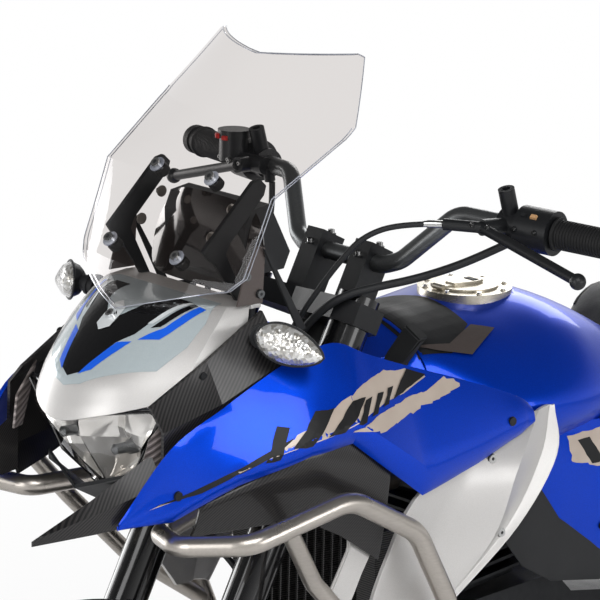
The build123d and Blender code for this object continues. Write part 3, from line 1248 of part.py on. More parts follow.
GUARD_END_X = REAR_AXLE_X - 387.0
with BuildPart() as rear_mudguard:
    prism_y(
        [(-760, 884.0), (-830, 893.6), (-900, 900), (-960, 850), (GUARD_END_X, 560), (GUARD_END_X + 8, 558),
         (-950, 830), (-890, 868), (-760, 850)],
        -75, 75,
    )
    # Blank plate on its holder
    prism_y([(-1014, 700), (-1052, 582), (-1060, 585), (-1022, 704)], -88, 88)
write(rear_mudguard, "rear_mudguard")

with BuildPart() as tail_light:
    prism_y([(-900.3, 900.6), (-900.3, 915), (-975, 912), (-990, 880), (-960.6, 850.7)], -60, 60)
    for side in (1, -1):
        rod((-930, side * 58, 900), (-930, side * 100, 900), 8)
        rod((-945, side * 122, 900), (-905, side * 122, 900), 20)
        rod((-930, side * 98, 900), (-930, side * 110, 900), 8)
write(tail_light, "tail_light")
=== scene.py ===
"""Finishes, fasteners and trim for an adventure motorcycle built round a fixed frame of solids.

Lengths in the tables are millimetres in the machine's own frame: x forward, y left, z up.
"""
from __future__ import annotations

import logging
import math
import random
from contextlib import contextmanager
from dataclasses import dataclass
from enum import Enum
from functools import cache
from typing import Callable, Iterable, Iterator, Sequence

import bmesh
import bpy
from mathutils import Matrix, Vector
from mathutils.bvhtree import BVHTree

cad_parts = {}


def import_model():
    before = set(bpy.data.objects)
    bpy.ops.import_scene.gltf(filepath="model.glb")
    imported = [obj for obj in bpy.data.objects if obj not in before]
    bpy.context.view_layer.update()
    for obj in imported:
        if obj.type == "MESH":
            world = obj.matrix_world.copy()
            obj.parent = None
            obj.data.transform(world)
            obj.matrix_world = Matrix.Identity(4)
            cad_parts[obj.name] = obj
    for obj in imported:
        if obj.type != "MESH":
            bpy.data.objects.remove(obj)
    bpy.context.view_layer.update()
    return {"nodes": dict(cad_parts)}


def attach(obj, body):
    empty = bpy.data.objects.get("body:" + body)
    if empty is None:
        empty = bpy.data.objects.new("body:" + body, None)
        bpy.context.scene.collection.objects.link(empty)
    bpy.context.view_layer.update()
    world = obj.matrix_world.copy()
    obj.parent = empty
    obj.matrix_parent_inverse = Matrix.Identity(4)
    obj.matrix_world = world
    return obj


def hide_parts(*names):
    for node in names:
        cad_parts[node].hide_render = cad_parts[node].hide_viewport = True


log = logging.getLogger("adventure_motorcycle")
Point = tuple[float, float, float]
Socket = bpy.types.NodeSocket
Piece = bpy.types.Object

MM = 0.001
MERGE = 1e-6
SIDES = (1, -1)
# Edges sharper than these angles in degrees show.
SKIN_ANGLE = 22.0
EDGE_ANGLE = 35.0
TUBE_ANGLE = 40.0
FORM_ANGLE = 50.0
SOFT_ANGLE = 60.0


class Body(str, Enum):
    """The bodies that pieces ride on."""

    CHASSIS = "chassis"
    STEERING = "steering"
    FRONT_WHEEL = "front_wheel"
    REAR_WHEEL = "rear_wheel"
    FUEL_CAP = "fuel_cap"


class Pattern(Enum):
    """How a finish varies over its surface."""

    PLAIN = "plain"
    GRAIN = "grain"
    CARBON = "carbon"
    BRUSHED = "brushed"
    CAST = "cast"
    PEARL = "pearl"
    LEATHER = "leather"
    FACETS = "facets"
    RIBBED = "ribbed"


# ---------------------------------------------------------------- node graph helpers
class Nodes:
    """A small writer for a node tree."""

    def __init__(self, tree: bpy.types.NodeTree) -> None:
        """Take up a tree.

        Args:
            tree: the tree to write into.
        """
        self.tree = tree

    def node(self, kind: str, links: dict[str | int, Socket] | None = None,
             values: dict[str | int, object] | None = None, **settings: object) -> bpy.types.Node:
        """Add a node with its attributes, values and incoming links.

        Args:
            kind: the kind of node.
            links: sockets that run into its inputs.
            values: fixed values of its inputs.
            settings: its attributes.

        Returns:
            The node.
        """
        made = self.tree.nodes.new(kind)
        for key, value in settings.items():
            setattr(made, key, value)
        for key, value in (values or {}).items():
            made.inputs[key].default_value = value
        for key, source in (links or {}).items():
            self.tree.links.new(source, made.inputs[key])
        return made

    def combined(self, first: Socket, second: Socket, how: str = "ADD") -> Socket:
        """Combine two values with a Math operation."""
        return self.node("ShaderNodeMath", {0: first, 1: second}, operation=how).outputs[0]


class Graph(Nodes):
    """A shader graph of a material or a world."""

    def __init__(self, owner: bpy.types.ID, output: str = "ShaderNodeOutputMaterial") -> None:
        """Start the graph.

        Args:
            owner: the new material or world.
            output: the kind of its output node.
        """
        owner.use_nodes = True
        super().__init__(owner.node_tree)
        self.tree.nodes.clear()
        self.output = self.node(output)
        self.places = self.node("ShaderNodeTexCoord").outputs
        self.coordinates = self.places["Object"]

    def placed(self, turn: Point, scale: Point = (1.0, 1.0, 1.0)) -> Socket:
        """Object coordinates turned by degrees and scaled."""
        return self.node("ShaderNodeMapping", {"Vector": self.coordinates},
                         {"Scale": scale, "Rotation": [math.radians(a) for a in turn]}).outputs["Vector"]

    def noise(self, scale: float, vector: Socket | None = None, detail: float = 3.0, rough: float = 0.55) -> Socket:
        """A noise value between 0 and 1."""
        return self.node("ShaderNodeTexNoise", {"Vector": vector or self.coordinates},
                         {"Scale": scale, "Detail": detail, "Roughness": rough}).outputs["Fac"]

    def bands(self, scale: float, turn: Point) -> Socket:
        """Even sine bands along the turned X axis."""
        return self.node("ShaderNodeTexWave", {"Vector": self.placed(turn)},
                         {"Scale": scale, "Distortion": 0.0}).outputs["Fac"]

    def cells(self, scale: float, feature: str = "F1", output: str = "Distance") -> Socket:
        """A cell pattern's distance or colour."""
        return self.node("ShaderNodeTexVoronoi", {"Vector": self.coordinates}, {"Scale": scale},
                         feature=feature).outputs[output]

    def spread(self, value: Socket, low: float, high: float, start: float = 0.3, end: float = 0.7) -> Socket:
        """Map a value from start..end onto low..high, clamped."""
        return self.node("ShaderNodeMapRange", {"Value": value}, {
            "From Min": start, "From Max": end, "To Min": low, "To Max": high}).outputs["Result"]

    def tint(self, factor: Socket, first: str, second: str) -> Socket:
        """Mix two sRGB hex colours by a value."""
        return self.node("ShaderNodeMix", {0: factor}, {6: (*linear(first), 1.0), 7: (*linear(second), 1.0)},
                         data_type="RGBA").outputs[2]

    def show(self, shader: Socket) -> None:
        """Let a shader be what is seen."""
        self.tree.links.new(shader, self.output.inputs["Surface"])

    def blend(self, factor: Socket, first: Socket, second: Socket) -> None:
        """Show two shaders, mixed by a value."""
        self.show(self.node("ShaderNodeMixShader", {0: factor, 1: first, 2: second}).outputs[0])


def linear(code: str) -> tuple[float, float, float]:
    """An sRGB hex colour as linear numbers."""
    values = [int(code[i:i + 2], 16) / 255 for i in (0, 2, 4)]
    return tuple(v / 12.92 if v <= 0.04045 else ((v + 0.055) / 1.055) ** 2.4 for v in values)


class Coating:
    """Anything that a piece can be finished in."""

    name: str

    def write(self, graph: Graph) -> None:
        """Write the material's graph."""
        raise NotImplementedError

    def material(self) -> bpy.types.Material:
        """The material, made once.

        Returns:
            The material.
        """
        kept = bpy.data.materials.get(self.name)
        if kept is None:
            kept = bpy.data.materials.new(self.name)
            self.write(Graph(kept))
        return kept


@dataclass(frozen=True)
class Finish(Coating):
    """One surface finish.

    Attributes:
        name: the material's name.
        colour: main sRGB hex colour.
        second: the colour it varies towards.
        metallic: how metallic, 0 to 1.
        rough: lowest and highest roughness.
        pattern: how it varies.
        scale: texture scale, in features a metre.
        depth: bump depth in metres.
        coat: clear coat weight.
        coat_rough: the coat's own roughness.
        turn: the pattern's rotation in degrees.
        sheen: cloth sheen weight.
        specular: strength of the plain gloss.
    """

    name: str
    colour: str
    second: str
    metallic: float = 0.0
    rough: tuple[float, float] = (0.4, 0.5)
    pattern: Pattern = Pattern.GRAIN
    scale: float = 900.0
    depth: float = 0.0001
    coat: float = 0.0
    coat_rough: float = 0.05
    turn: Point = (0.0, 0.0, 0.0)
    sheen: float = 0.0
    specular: float = 0.3

    def factors(self, graph: Graph) -> tuple[Socket, Socket]:
        """The colour factor and height of this finish's pattern.

        Args:
            graph: the graph that is being written.

        Returns:
            The colour factor and the height, both 0 to 1.
        """
        if self.pattern is Pattern.CARBON:
            wide = graph.bands(self.scale, self.turn)
            fine = graph.bands(self.scale * 2.6, (self.turn[0], self.turn[1] + 74.0, self.turn[2] + 63.0))
            weave = graph.combined(graph.spread(wide, 0.0, 0.75, 0.35, 0.65), graph.spread(fine, 0.0, 0.25))
            return weave, weave
        if self.pattern is Pattern.BRUSHED:
            lines = graph.noise(self.scale, graph.placed(self.turn, (0.03, 1.0, 1.0)), 4.0)
            return lines, lines
        if self.pattern is Pattern.CAST:
            return graph.noise(self.scale * 0.12), graph.cells(self.scale)
        if self.pattern is Pattern.PEARL:
            return graph.cells(self.scale, "F1", "Color"), graph.noise(60.0, None, 2.0)
        if self.pattern is Pattern.LEATHER:
            cells = graph.cells(self.scale, "DISTANCE_TO_EDGE")
            return graph.noise(self.scale * 0.06), graph.spread(cells, 0.0, 1.0, 0.0, 0.22)
        if self.pattern is Pattern.FACETS:
            return graph.cells(self.scale, "F1", "Color"), graph.cells(self.scale)
        if self.pattern is Pattern.RIBBED:
            ribs = graph.bands(self.scale, self.turn)
            return graph.spread(ribs, 0.0, 1.0, 0.25, 0.75), ribs
        if self.pattern is Pattern.PLAIN:
            soft = graph.noise(25.0, None, 2.0)
            return soft, soft
        grain = graph.noise(self.scale, None, 5.0, 0.6)
        return grain, grain

    def write(self, graph: Graph) -> None:
        """Write the material's graph.

        Args:
            graph: the new material's graph.
        """
        factor, height = self.factors(graph)
        links = {"Base Color": graph.tint(graph.spread(factor, 0.0, 1.0, 0.2, 0.8), self.colour, self.second),
                 "Roughness": graph.spread(graph.noise(18.0, None, 4.0), *self.rough)}
        if self.depth > 0:
            bump = graph.node("ShaderNodeBump", {"Height": height}, {"Distance": self.depth, "Strength": 1.0})
            links["Normal"] = bump.outputs["Normal"]
        shader = graph.node("ShaderNodeBsdfPrincipled", links, {
            "Specular IOR Level": self.specular, "Metallic": self.metallic, "Coat Weight": self.coat,
            "Coat Roughness": self.coat_rough, "Sheen Weight": self.sheen})
        graph.show(shader.outputs["BSDF"])


def even(name: str, colour: str, second: str, metallic: float, rough: tuple[float, float], coat: float = 0.0,
         coat_rough: float = 0.05) -> Finish:
    """A finish that only varies softly, without bump."""
    return Finish(name, colour, second, metallic, rough, Pattern.PLAIN, depth=0.0, coat=coat, coat_rough=coat_rough)


@dataclass(frozen=True)
class SheetFinish(Coating):
    """A thin clear sheet: mostly straight through, with a gloss that grows at the rim.

    Attributes:
        name: the material's name.
        through: colour of the light that passes.
        gloss: weight of the gloss seen head on.
    """

    name: str
    through: str
    gloss: float = 0.025

    def write(self, graph: Graph) -> None:
        """Write the material's graph.

        Args:
            graph: the new material's graph.
        """
        clear = graph.node("ShaderNodeBsdfTransparent", None, {"Color": (*linear(self.through), 1.0)})
        shine = graph.node("ShaderNodeBsdfGlossy", None, {"Roughness": 0.03, "Color": (0.9, 0.9, 0.92, 1.0)})
        rim = graph.node("ShaderNodeFresnel", None, {"IOR": 1.45}).outputs["Fac"]
        back = graph.node("ShaderNodeNewGeometry").outputs["Backfacing"]
        weight = graph.combined(graph.spread(rim, self.gloss, 0.7, 0.04, 1.0),
                                graph.spread(back, 1.0, 0.0, 0.0, 1.0), "MULTIPLY")
        graph.blend(weight, clear.outputs[0], shine.outputs[0])


class Palette:
    """Every finish of the machine."""

    BLUE = Finish("cobalt_pearl", "0240c8", "0135b0", 0.6, (0.28, 0.34), Pattern.PEARL, 2600.0, 0.00001, 0.3, 0.02,
                  specular=0.05)
    BLUE_LIGHT = even("bright_blue_film", "0f5ad6", "0c52ca", 0.0, (0.3, 0.36), 0.3, 0.04)
    SILVER = Finish("silver_satin_paint", "cccac8", "c0bebc", 0.5, (0.38, 0.46), Pattern.PEARL, 3200.0, 0.00001,
                    0.25, 0.2)
    SILVER_GLOSS = Finish("silver_gloss_film", "b9c3c6", "adb8bc", 0.25, (0.14, 0.2), Pattern.PEARL, 3200.0, 0.0, 0.5,
                          0.02)
    PALE = even("pale_silver_film", "dfe3e4", "d2d7d9", 0.2, (0.16, 0.2), 1.0, 0.03)
    CARBON = Finish("carbon_weave", "0d0d0f", "2c2a2a", 0.15, (0.32, 0.4), Pattern.CARBON, 105.0, 0.00005, 0.35, 0.12,
                    (0.0, 40.0, 0.0))
    BLACK_PLASTIC = Finish("grained_black_plastic", "17181a", "1f2022", 0.0, (0.46, 0.58), Pattern.GRAIN, 1400.0,
                           0.00008)
    BLACK_GLOSS = even("gloss_black_film", "08080a", "0d0d0f", 0.0, (0.1, 0.16), 0.5, 0.02)
    BLACK_FILM = even("matt_black_film", "09090b", "0e0e10", 0.0, (0.42, 0.5))
    BLACK_METAL = Finish("black_powder_coat", "141517", "1b1c1e", 0.1, (0.34, 0.46), Pattern.CAST, 1600.0, 0.00004,
                         0.1, 0.2)
    BLACK_ENAMEL = even("black_enamel", "0c0c0e", "121214", 0.2, (0.16, 0.24), 0.7)
    GREY_PLASTIC = Finish("warm_grey_trim", "8a8782", "7d7a75", 0.25, (0.36, 0.46), Pattern.GRAIN, 1200.0, 0.00004)
    BROWN_GREY = Finish("smoked_trim", "5c5350", "4a4341", 0.3, (0.3, 0.4), Pattern.GRAIN, 1200.0, 0.00004, 0.3)
    BEIGE = even("sand_film", "b9aca0", "ab9d91", 0.15, (0.32, 0.4), 0.5, 0.06)
    STEEL = Finish("satin_steel", "b9b3ac", "aca69f", 0.95, (0.26, 0.34), Pattern.BRUSHED, 500.0, 0.00001)
    STEEL_BRIGHT = Finish("bright_steel", "c9c9c8", "b6b6b5", 1.0, (0.14, 0.24), Pattern.BRUSHED, 700.0, 0.00001)
    TITANIUM = Finish("titanium_grey", "6d6f70", "5f6162", 0.85, (0.3, 0.38), Pattern.BRUSHED, 500.0, 0.00002)
    CHROME = even("chrome", "dcdcdd", "cfcfd1", 1.0, (0.04, 0.08))
    CAST = Finish("cast_alloy", "8f9092", "7c7d7f", 0.85, (0.42, 0.56), Pattern.CAST, 900.0, 0.00012)
    CAST_DARK = Finish("dark_cast_alloy", "2a2b2d", "222325", 0.6, (0.4, 0.52), Pattern.CAST, 900.0, 0.00012)
    FINS = Finish("radiator_fins", "2b2b2c", "555453", 0.7, (0.4, 0.5), Pattern.RIBBED, 110.0, 0.0004,
                  turn=(0.0, 90.0, 0.0))
    RUBBER = Finish("tyre_rubber", "191919", "212121", 0.0, (0.62, 0.78), Pattern.GRAIN, 500.0, 0.00015)
    GRIP = Finish("ribbed_grip", "131314", "1a1a1b", 0.0, (0.55, 0.68), Pattern.GRAIN, 900.0, 0.00012)
    VINYL = Finish("grained_vinyl", "17181a", "1e1f21", 0.0, (0.48, 0.6), Pattern.LEATHER, 420.0, 0.00018,
                   sheen=0.2)
    CAP = Finish("champagne_anodised", "cfc8b9", "bfb8a9", 0.9, (0.22, 0.3), Pattern.BRUSHED, 600.0, 0.00002)
    EXHAUST = Finish("heat_tinted_steel", "9a928a", "7f766e", 0.95, (0.24, 0.36), Pattern.BRUSHED, 300.0, 0.00002)
    REFLECTOR = even("lamp_reflector", "f2f0ec", "d9d5d0", 0.62, (0.07, 0.16))
    JEWEL = Finish("jewelled_lens", "dfdfdd", "9b9891", 0.6, (0.08, 0.16), Pattern.FACETS, 230.0, 0.0009, 1.0, 0.01)
    RED_LENS = Finish("red_lens", "a50f12", "7d090c", 0.0, (0.1, 0.16), Pattern.FACETS, 160.0, 0.0008, 1.0, 0.02)
    BRAKE = Finish("ground_disc_steel", "a9a9aa", "959596", 0.95, (0.28, 0.38), Pattern.BRUSHED, 300.0, 0.00001)
    CHEEK = Finish("ribbed_grey_cheek", "8b8280", "5d5654", 0.3, (0.3, 0.4), Pattern.RIBBED, 46.0, 0.0008, 0.2, 0.1,
                   (0.0, 60.0, 0.0))
    # Edge beads and clear washers of the screen: the grey-to-pale tone is a painted reflection of clear plastic, under
    # a real gloss coat.
    EDGE = even("polished_edge_painted_reflection", "6f727c", "b9bcc6", 0.3, (0.08, 0.14), 1.0, 0.02)
    SCREEN = SheetFinish("clear_sheet", "f0eeed", 0.02)
    LENS = SheetFinish("clear_lens", "f8f8f8", 0.05)
    SMOKED = even("smoked_shield", "221d1c", "171414", 0.1, (0.12, 0.2), 1.0, 0.04)
    BEIGE_BUTTON = Finish("tan_button", "b58e66", "a67f58", 0.0, (0.4, 0.48), Pattern.GRAIN, 1200.0, 0.00003)
    RED_SWITCH = Finish("red_switch", "a8201c", "961a17", 0.0, (0.34, 0.42), Pattern.GRAIN, 1200.0, 0.00003)


# ---------------------------------------------------------------- meshes and surfaces
def metres(points: Iterable[Sequence[float]]) -> list[Vector]:
    """Millimetre points as vectors in metres."""
    return [Vector(p) * MM for p in points]


def sided(points: Iterable[Sequence[float]], side: int = -1) -> list[Point]:
    """Points on the left for side 1, and their mirror image across the mid plane for side -1."""
    return [(x, side * y, z) for x, y, z in points]


def flip(point: Sequence[float]) -> Point:
    """A point's mirror image across the machine's mid plane."""
    return (point[0], -point[1], point[2])


def linked(name: str, data: bpy.types.ID) -> Piece:
    """An object of some data, linked to the scene.

    Args:
        name: the object's name.
        data: its mesh, curve, lamp or camera.

    Returns:
        The object.
    """
    made = bpy.data.objects.new(name, data)
    bpy.context.scene.collection.objects.link(made)
    return made


@contextmanager
def editing(mesh: bpy.types.Mesh) -> Iterator[bmesh.types.BMesh]:
    """Edit a mesh and write it back.

    Args:
        mesh: the mesh.

    Yields:
        The mesh in its editable form.
    """
    work = bmesh.new()
    work.from_mesh(mesh)
    yield work
    work.to_mesh(mesh)
    work.free()


def evaluated(piece: Piece) -> bpy.types.Mesh:
    """A new mesh of a piece with its modifiers worked in."""
    return bpy.data.meshes.new_from_object(piece.evaluated_get(bpy.context.evaluated_depsgraph_get()))


def baked(piece: Piece) -> Piece:
    """Work a piece's modifiers into its mesh.

    Args:
        piece: the piece.

    Returns:
        The piece, without modifiers.
    """
    plain = evaluated(piece)
    piece.modifiers.clear()
    piece.data = plain
    return piece


def shade(piece: Piece, angle: float) -> Piece:
    """Shade a mesh smooth with sharp edges above an angle in degrees.

    Args:
        piece: the piece.
        angle: the sharpest angle that shades smooth, in degrees.

    Returns:
        The piece.
    """
    mesh = piece.data
    mesh.polygons.foreach_set("use_smooth", [True] * len(mesh.polygons))
    mesh.set_sharp_from_angle(angle=math.radians(angle))
    return piece


def new_piece(name: str, verts: Sequence[Vector], faces: Sequence[Sequence[int]], finish: Coating,
              smooth: float | None = None) -> Piece:
    """Make a mesh object at the origin.

    Args:
        name: the piece's name.
        verts: its points in metres.
        faces: its faces as point numbers.
        finish: its finish.
        smooth: the angle in degrees under which edges shade smooth, or None for flat.

    Returns:
        The object, linked to the scene.
    """
    mesh = bpy.data.meshes.new(name)
    mesh.from_pydata([tuple(v) for v in verts], [], [tuple(f) for f in faces])
    mesh.validate()
    mesh.materials.append(finish.material())
    made = linked(name, mesh)
    return made if smooth is None else shade(made, smooth)


def outward(piece: Piece) -> Piece:
    """Merge a closed mesh's doubles and face it outwards.

    Args:
        piece: a piece with a closed mesh.

    Returns:
        The piece.
    """
    with editing(piece.data) as work:
        bmesh.ops.remove_doubles(work, verts=work.verts, dist=MERGE)
        bmesh.ops.recalc_face_normals(work, faces=work.faces)
    return piece


def joined(name: str, pieces: Sequence[Piece]) -> Piece:
    """Join meshes into one piece that keeps every material.

    Args:
        name: the new piece's name.
        pieces: the pieces, which are used up.

    Returns:
        The joined piece.
    """
    slots: list[bpy.types.Material] = []
    mesh = bpy.data.meshes.new(name)
    with editing(mesh) as work:
        for piece in pieces:
            start = len(work.faces)
            work.from_mesh(piece.data)
            work.faces.ensure_lookup_table()
            for polygon in work.faces[start:]:
                used = piece.data.materials[polygon.material_index]
                if used not in slots:
                    slots.append(used)
                polygon.material_index = slots.index(used)
    for used in slots:
        mesh.materials.append(used)
    for piece in pieces:
        old = piece.data
        bpy.data.objects.remove(piece)
        bpy.data.meshes.remove(old)
    return linked(name, mesh)


def place(piece: Piece, body: Body, slot: str, *nodes: str) -> Piece:
    """Let a finished piece ride on its body and hide the solids that it replaces.

    Args:
        piece: the finished piece.
        body: the body that it rides on.
        slot: the record's material slot; not used.
        nodes: the solids that it replaces.

    Returns:
        The piece.
    """
    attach(piece, body.value)
    if nodes:
        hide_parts(*nodes)
    log.info("%s rides on %s", piece.name, body.value)
    return piece


class Surface:
    """A skin to drop trim onto."""

    kept: dict[str, "Surface"] = {}

    def __init__(self, *meshes: bpy.types.Mesh) -> None:
        """Read the skin.

        Args:
            meshes: the meshes that make it up.
        """
        spots, faces = [], []
        for mesh in meshes:
            start = len(spots)
            spots += [v.co.copy() for v in mesh.vertices]
            faces += [tuple(start + v for v in p.vertices) for p in mesh.polygons]
        self.tree = BVHTree.FromPolygons(spots, faces)

    @classmethod
    def of(cls, node: str) -> "Surface":
        """The node's surface, read once.

        Args:
            node: the solid's name.

        Returns:
            Its surface.
        """
        if node not in cls.kept:
            cls.kept[node] = cls(FRAME["nodes"][node].data)
        return cls.kept[node]

    def drop(self, start: Vector, way: Vector) -> tuple[Vector, Vector]:
        """Where a point lands on the skin.

        Args:
            start: a point in metres near the skin.
            way: the unit direction in which it falls.

        Returns:
            The place on the skin and the normal there, facing back up the fall.
        """
        hit, normal, _, _ = self.tree.ray_cast(start - way * 0.15, way)
        if hit is None:
            hit, normal, _, _ = self.tree.find_nearest(start)
        return hit, normal if normal.dot(way) < 0 else -normal


def ragged(points: Sequence[Sequence[float]], size: float, seed: int, step: float = 7.0) -> list[Vector]:
    """An outline with torn, uneven edges.

    Args:
        points: the closed outline in millimetres.
        size: how far the edge strays, in millimetres.
        seed: seed of the random numbers.
        step: distance between tears in millimetres.

    Returns:
        The torn outline in millimetres.
    """
    dice = random.Random(seed)
    torn = []
    ring = [Vector(p) for p in points]
    middle = sum(ring, Vector()) / len(ring)
    for start, end in zip(ring, ring[1:] + ring[:1]):
        count = max(1, round((end - start).length / step))
        for part in range(count):
            spot = start.lerp(end, part / count)
            inward = (middle - spot).normalized()
            torn.append(spot + inward * dice.uniform(-0.35, 1.0) * size)
    return torn


@dataclass
class Film:
    """A thin film laid on a panel, the same on both sides where asked.

    Attributes:
        name: the piece's name.
        node: the panel under it.
        way: the direction in which it is laid.
        shapes: closed outlines in millimetres, each with its finish.
        lift: the film's thickness in millimetres.
        mirrored: whether the other side has it too.
        step: longest edge in millimetres.
    """

    name: str
    node: str
    way: Point
    shapes: list[tuple[list[Sequence[float]], Finish]]
    lift: float
    mirrored: bool = True
    step: float = 9.0

    def sheet(self, points: Sequence[Sequence[float]], way: Vector, finish: Finish, lift: float) -> Piece:
        """Lay one closed outline on the panel.

        Args:
            points: the closed outline in millimetres.
            way: the unit direction in which it is laid.
            finish: its finish.
            lift: its height above the panel in millimetres.

        Returns:
            The sheet.
        """
        across = way.cross(Vector((0, 0, 1))).normalized()
        if across.length < 0.5:
            across = Vector((1, 0, 0))
        up = across.cross(way).normalized()
        depth = sum(p.dot(way) for p in metres(points)) / len(points)
        skin_below = Surface.of(self.node)
        mesh = bpy.data.meshes.new("film")
        with editing(mesh) as work:
            ring = [work.verts.new((p.dot(across), p.dot(up), 0)) for p in metres(points)]
            edges = [work.edges.new((p, q)) for p, q in zip(ring, ring[1:] + ring[:1])]
            bmesh.ops.triangle_fill(work, edges=edges, use_beauty=True)
            for _ in range(5):
                long = [e for e in work.edges if e.calc_length() > self.step * MM]
                if not long:
                    break
                bmesh.ops.subdivide_edges(work, edges=long, cuts=1)
                bmesh.ops.triangulate(work, faces=work.faces)
            for vert in work.verts:
                spot = across * vert.co.x + up * vert.co.y + way * (depth - 0.05)
                vert.co = skin_below.drop(spot, way)[0] - way * lift * MM
            work.normal_update()
            for face in work.faces:
                if face.normal.dot(way) > 0:
                    face.normal_flip()
        mesh.materials.append(finish.material())
        return linked("film", mesh)

    def build(self, body: Body, slot: str) -> Piece:
        """Lay every outline and make one piece of them.

        Args:
            body: the body that it rides on.
            slot: the record's material slot.

        Returns:
            The film.
        """
        parts = []
        for number, (points, finish) in enumerate(self.shapes):
            lift = self.lift * (1 + 0.5 * number)
            parts.append(self.sheet(points, Vector(self.way).normalized(), finish, lift))
            if self.mirrored:
                parts.append(self.sheet(sided(points), Vector(flip(self.way)).normalized(), finish, lift))
        return place(joined(self.name, parts), body, slot)


# ---------------------------------------------------------------- geometry node trees
class Tree(Nodes):
    """A geometry node tree with named inputs."""

    def __init__(self, name: str) -> None:
        """Start a tree with a geometry going in and out.

        Args:
            name: the tree's name.
        """
        super().__init__(bpy.data.node_groups.new(name, "GeometryNodeTree"))
        for way in ("INPUT", "OUTPUT"):
            self.tree.interface.new_socket("Geometry", in_out=way, socket_type="NodeSocketGeometry")
        self.given = self.tree.nodes.new("NodeGroupInput")
        self.result = self.tree.nodes.new("NodeGroupOutput")

    def size(self, name: str, default: object, kind: str = "NodeSocketFloat") -> Socket:
        """Add a named input.

        Args:
            name: the input's name.
            default: its value unless one is given.
            kind: the kind of socket.

        Returns:
            The socket inside the tree.
        """
        socket = self.tree.interface.new_socket(name, in_out="INPUT", socket_type=kind)
        if kind != "NodeSocketMaterial":
            socket.default_value = default
        return self.given.outputs[name]

    def finish(self, name: str) -> Socket:
        """Add a named material input."""
        return self.size(name, None, "NodeSocketMaterial")

    def scaled(self, value: Socket, share: float) -> Socket:
        """A value times a fixed number."""
        return self.node("ShaderNodeMath", {0: value}, {1: share}, operation="MULTIPLY").outputs[0]

    def moved(self, geometry: Socket, axis: str, distance: Socket) -> Socket:
        """Move a geometry along an axis."""
        offset = self.node("ShaderNodeCombineXYZ", {axis: distance}).outputs[0]
        return self.node("GeometryNodeTransform", {"Geometry": geometry, "Translation": offset}).outputs[0]

    def raised(self, geometry: Socket, height: Socket, share: float = 1.0) -> Socket:
        """Move a geometry up its Z axis by a share of a height."""
        return self.moved(geometry, "Z", self.scaled(height, share))

    def cylinder(self, radius: Socket, depth: Socket, sides: int | Socket) -> Socket:
        """A cylinder about the Z axis.

        Args:
            radius: its radius.
            depth: its height.
            sides: steps round it.

        Returns:
            The cylinder.
        """
        links, values = {"Radius": radius, "Depth": depth}, {}
        (values if isinstance(sides, int) else links)["Vertices"] = sides
        return self.node("GeometryNodeMeshCylinder", links, values).outputs[0]

    def coated(self, geometry: Socket, material: Socket) -> Socket:
        """Set a geometry's material."""
        return self.node("GeometryNodeSetMaterial", {"Geometry": geometry, "Material": material}).outputs[0]

    def together(self, *parts: Socket) -> Socket:
        """Join geometries.

        Args:
            parts: the geometries.

        Returns:
            All of them as one.
        """
        node = self.node("GeometryNodeJoinGeometry")
        for part in parts:
            self.tree.links.new(part, node.inputs[0])
        return node.outputs[0]

    def close(self, geometry: Socket) -> bpy.types.NodeTree:
        """Join the geometry to the tree's output."""
        self.tree.links.new(geometry, self.result.inputs[0])
        return self.tree

    def on_points(self, shape: Socket) -> Socket:
        """Put the shape on each incoming point, turned by its facing and along attributes.

        Args:
            shape: the shape to repeat.

        Returns:
            Every copy as real geometry.
        """
        facing, along = (self.node("GeometryNodeInputNamedAttribute", None, {"Name": key},
                                   data_type="FLOAT_VECTOR").outputs["Attribute"] for key in ("facing", "along"))
        up = self.node("FunctionNodeAlignRotationToVector", {"Vector": facing}, axis="Z").outputs[0]
        turned_up = self.node("FunctionNodeAlignRotationToVector", {"Rotation": up, "Vector": along}, axis="X",
                              pivot_axis="Z").outputs[0]
        copies = self.node("GeometryNodeInstanceOnPoints", {
            "Points": self.given.outputs["Geometry"], "Instance": shape, "Rotation": turned_up})
        return self.node("GeometryNodeRealizeInstances", {"Geometry": copies.outputs[0]}).outputs[0]


@cache
def screw_tree() -> bpy.types.NodeTree:
    """A screw with a washer, a head and, for its drive recess, a black disc of painted shade on each point.

    Returns:
        The tree.
    """
    tree = Tree("screw_heads")
    sides = tree.size("Sides", 6, "NodeSocketInt")
    radius = tree.size("Head Radius", 0.005)
    height = tree.size("Head Height", 0.004)
    washer = tree.size("Washer Radius", 0.008)
    thick = tree.size("Washer Height", 0.0015)
    recess = tree.size("Recess Radius", 0.0025)
    metal, ring, painted_shade = (tree.finish(f"{name} Finish") for name in ("Head", "Washer", "Recess"))
    plate = tree.raised(tree.cylinder(washer, thick, 24), thick, 0.5)
    head = tree.raised(tree.raised(tree.cylinder(radius, height, sides), height, 0.5), thick)
    # The drive recess is a black disc just proud of the head's top: painted shade where the socket's hole would be.
    drive = tree.raised(tree.raised(tree.cylinder(recess, height, 6), height, 0.54), thick)
    return tree.close(tree.on_points(tree.together(tree.coated(drive, painted_shade), tree.coated(head, metal),
                                                   tree.coated(plate, ring))))


@cache
def block_tree() -> bpy.types.NodeTree:
    """A tapered block on each point, for tread, switches and stitches.

    Returns:
        The tree.
    """
    tree = Tree("blocks")
    size = tree.size("Block Size", (0.02, 0.02, 0.01), "NodeSocketVector")
    finish = tree.finish("Block Finish")
    taper = tree.size("Top Share", 0.86)
    cube = tree.node("GeometryNodeMeshCube", {"Size": size}).outputs[0]
    x, y, z = tree.node("ShaderNodeSeparateXYZ", {0: tree.node("GeometryNodeInputPosition").outputs[0]}).outputs
    above = tree.node("ShaderNodeMath", {0: z}, {1: 0.0}, operation="GREATER_THAN").outputs[0]
    shrink = tree.node("ShaderNodeMix", {0: above, 3: taper}, {2: 1.0}, data_type="FLOAT").outputs[0]
    spot = tree.node("ShaderNodeCombineXYZ", {"X": tree.combined(x, shrink, "MULTIPLY"),
                                              "Y": tree.combined(y, shrink, "MULTIPLY"), "Z": z}).outputs[0]
    shaped = tree.node("GeometryNodeSetPosition", {"Geometry": cube, "Position": spot}).outputs[0]
    return tree.close(tree.coated(tree.on_points(shaped), finish))


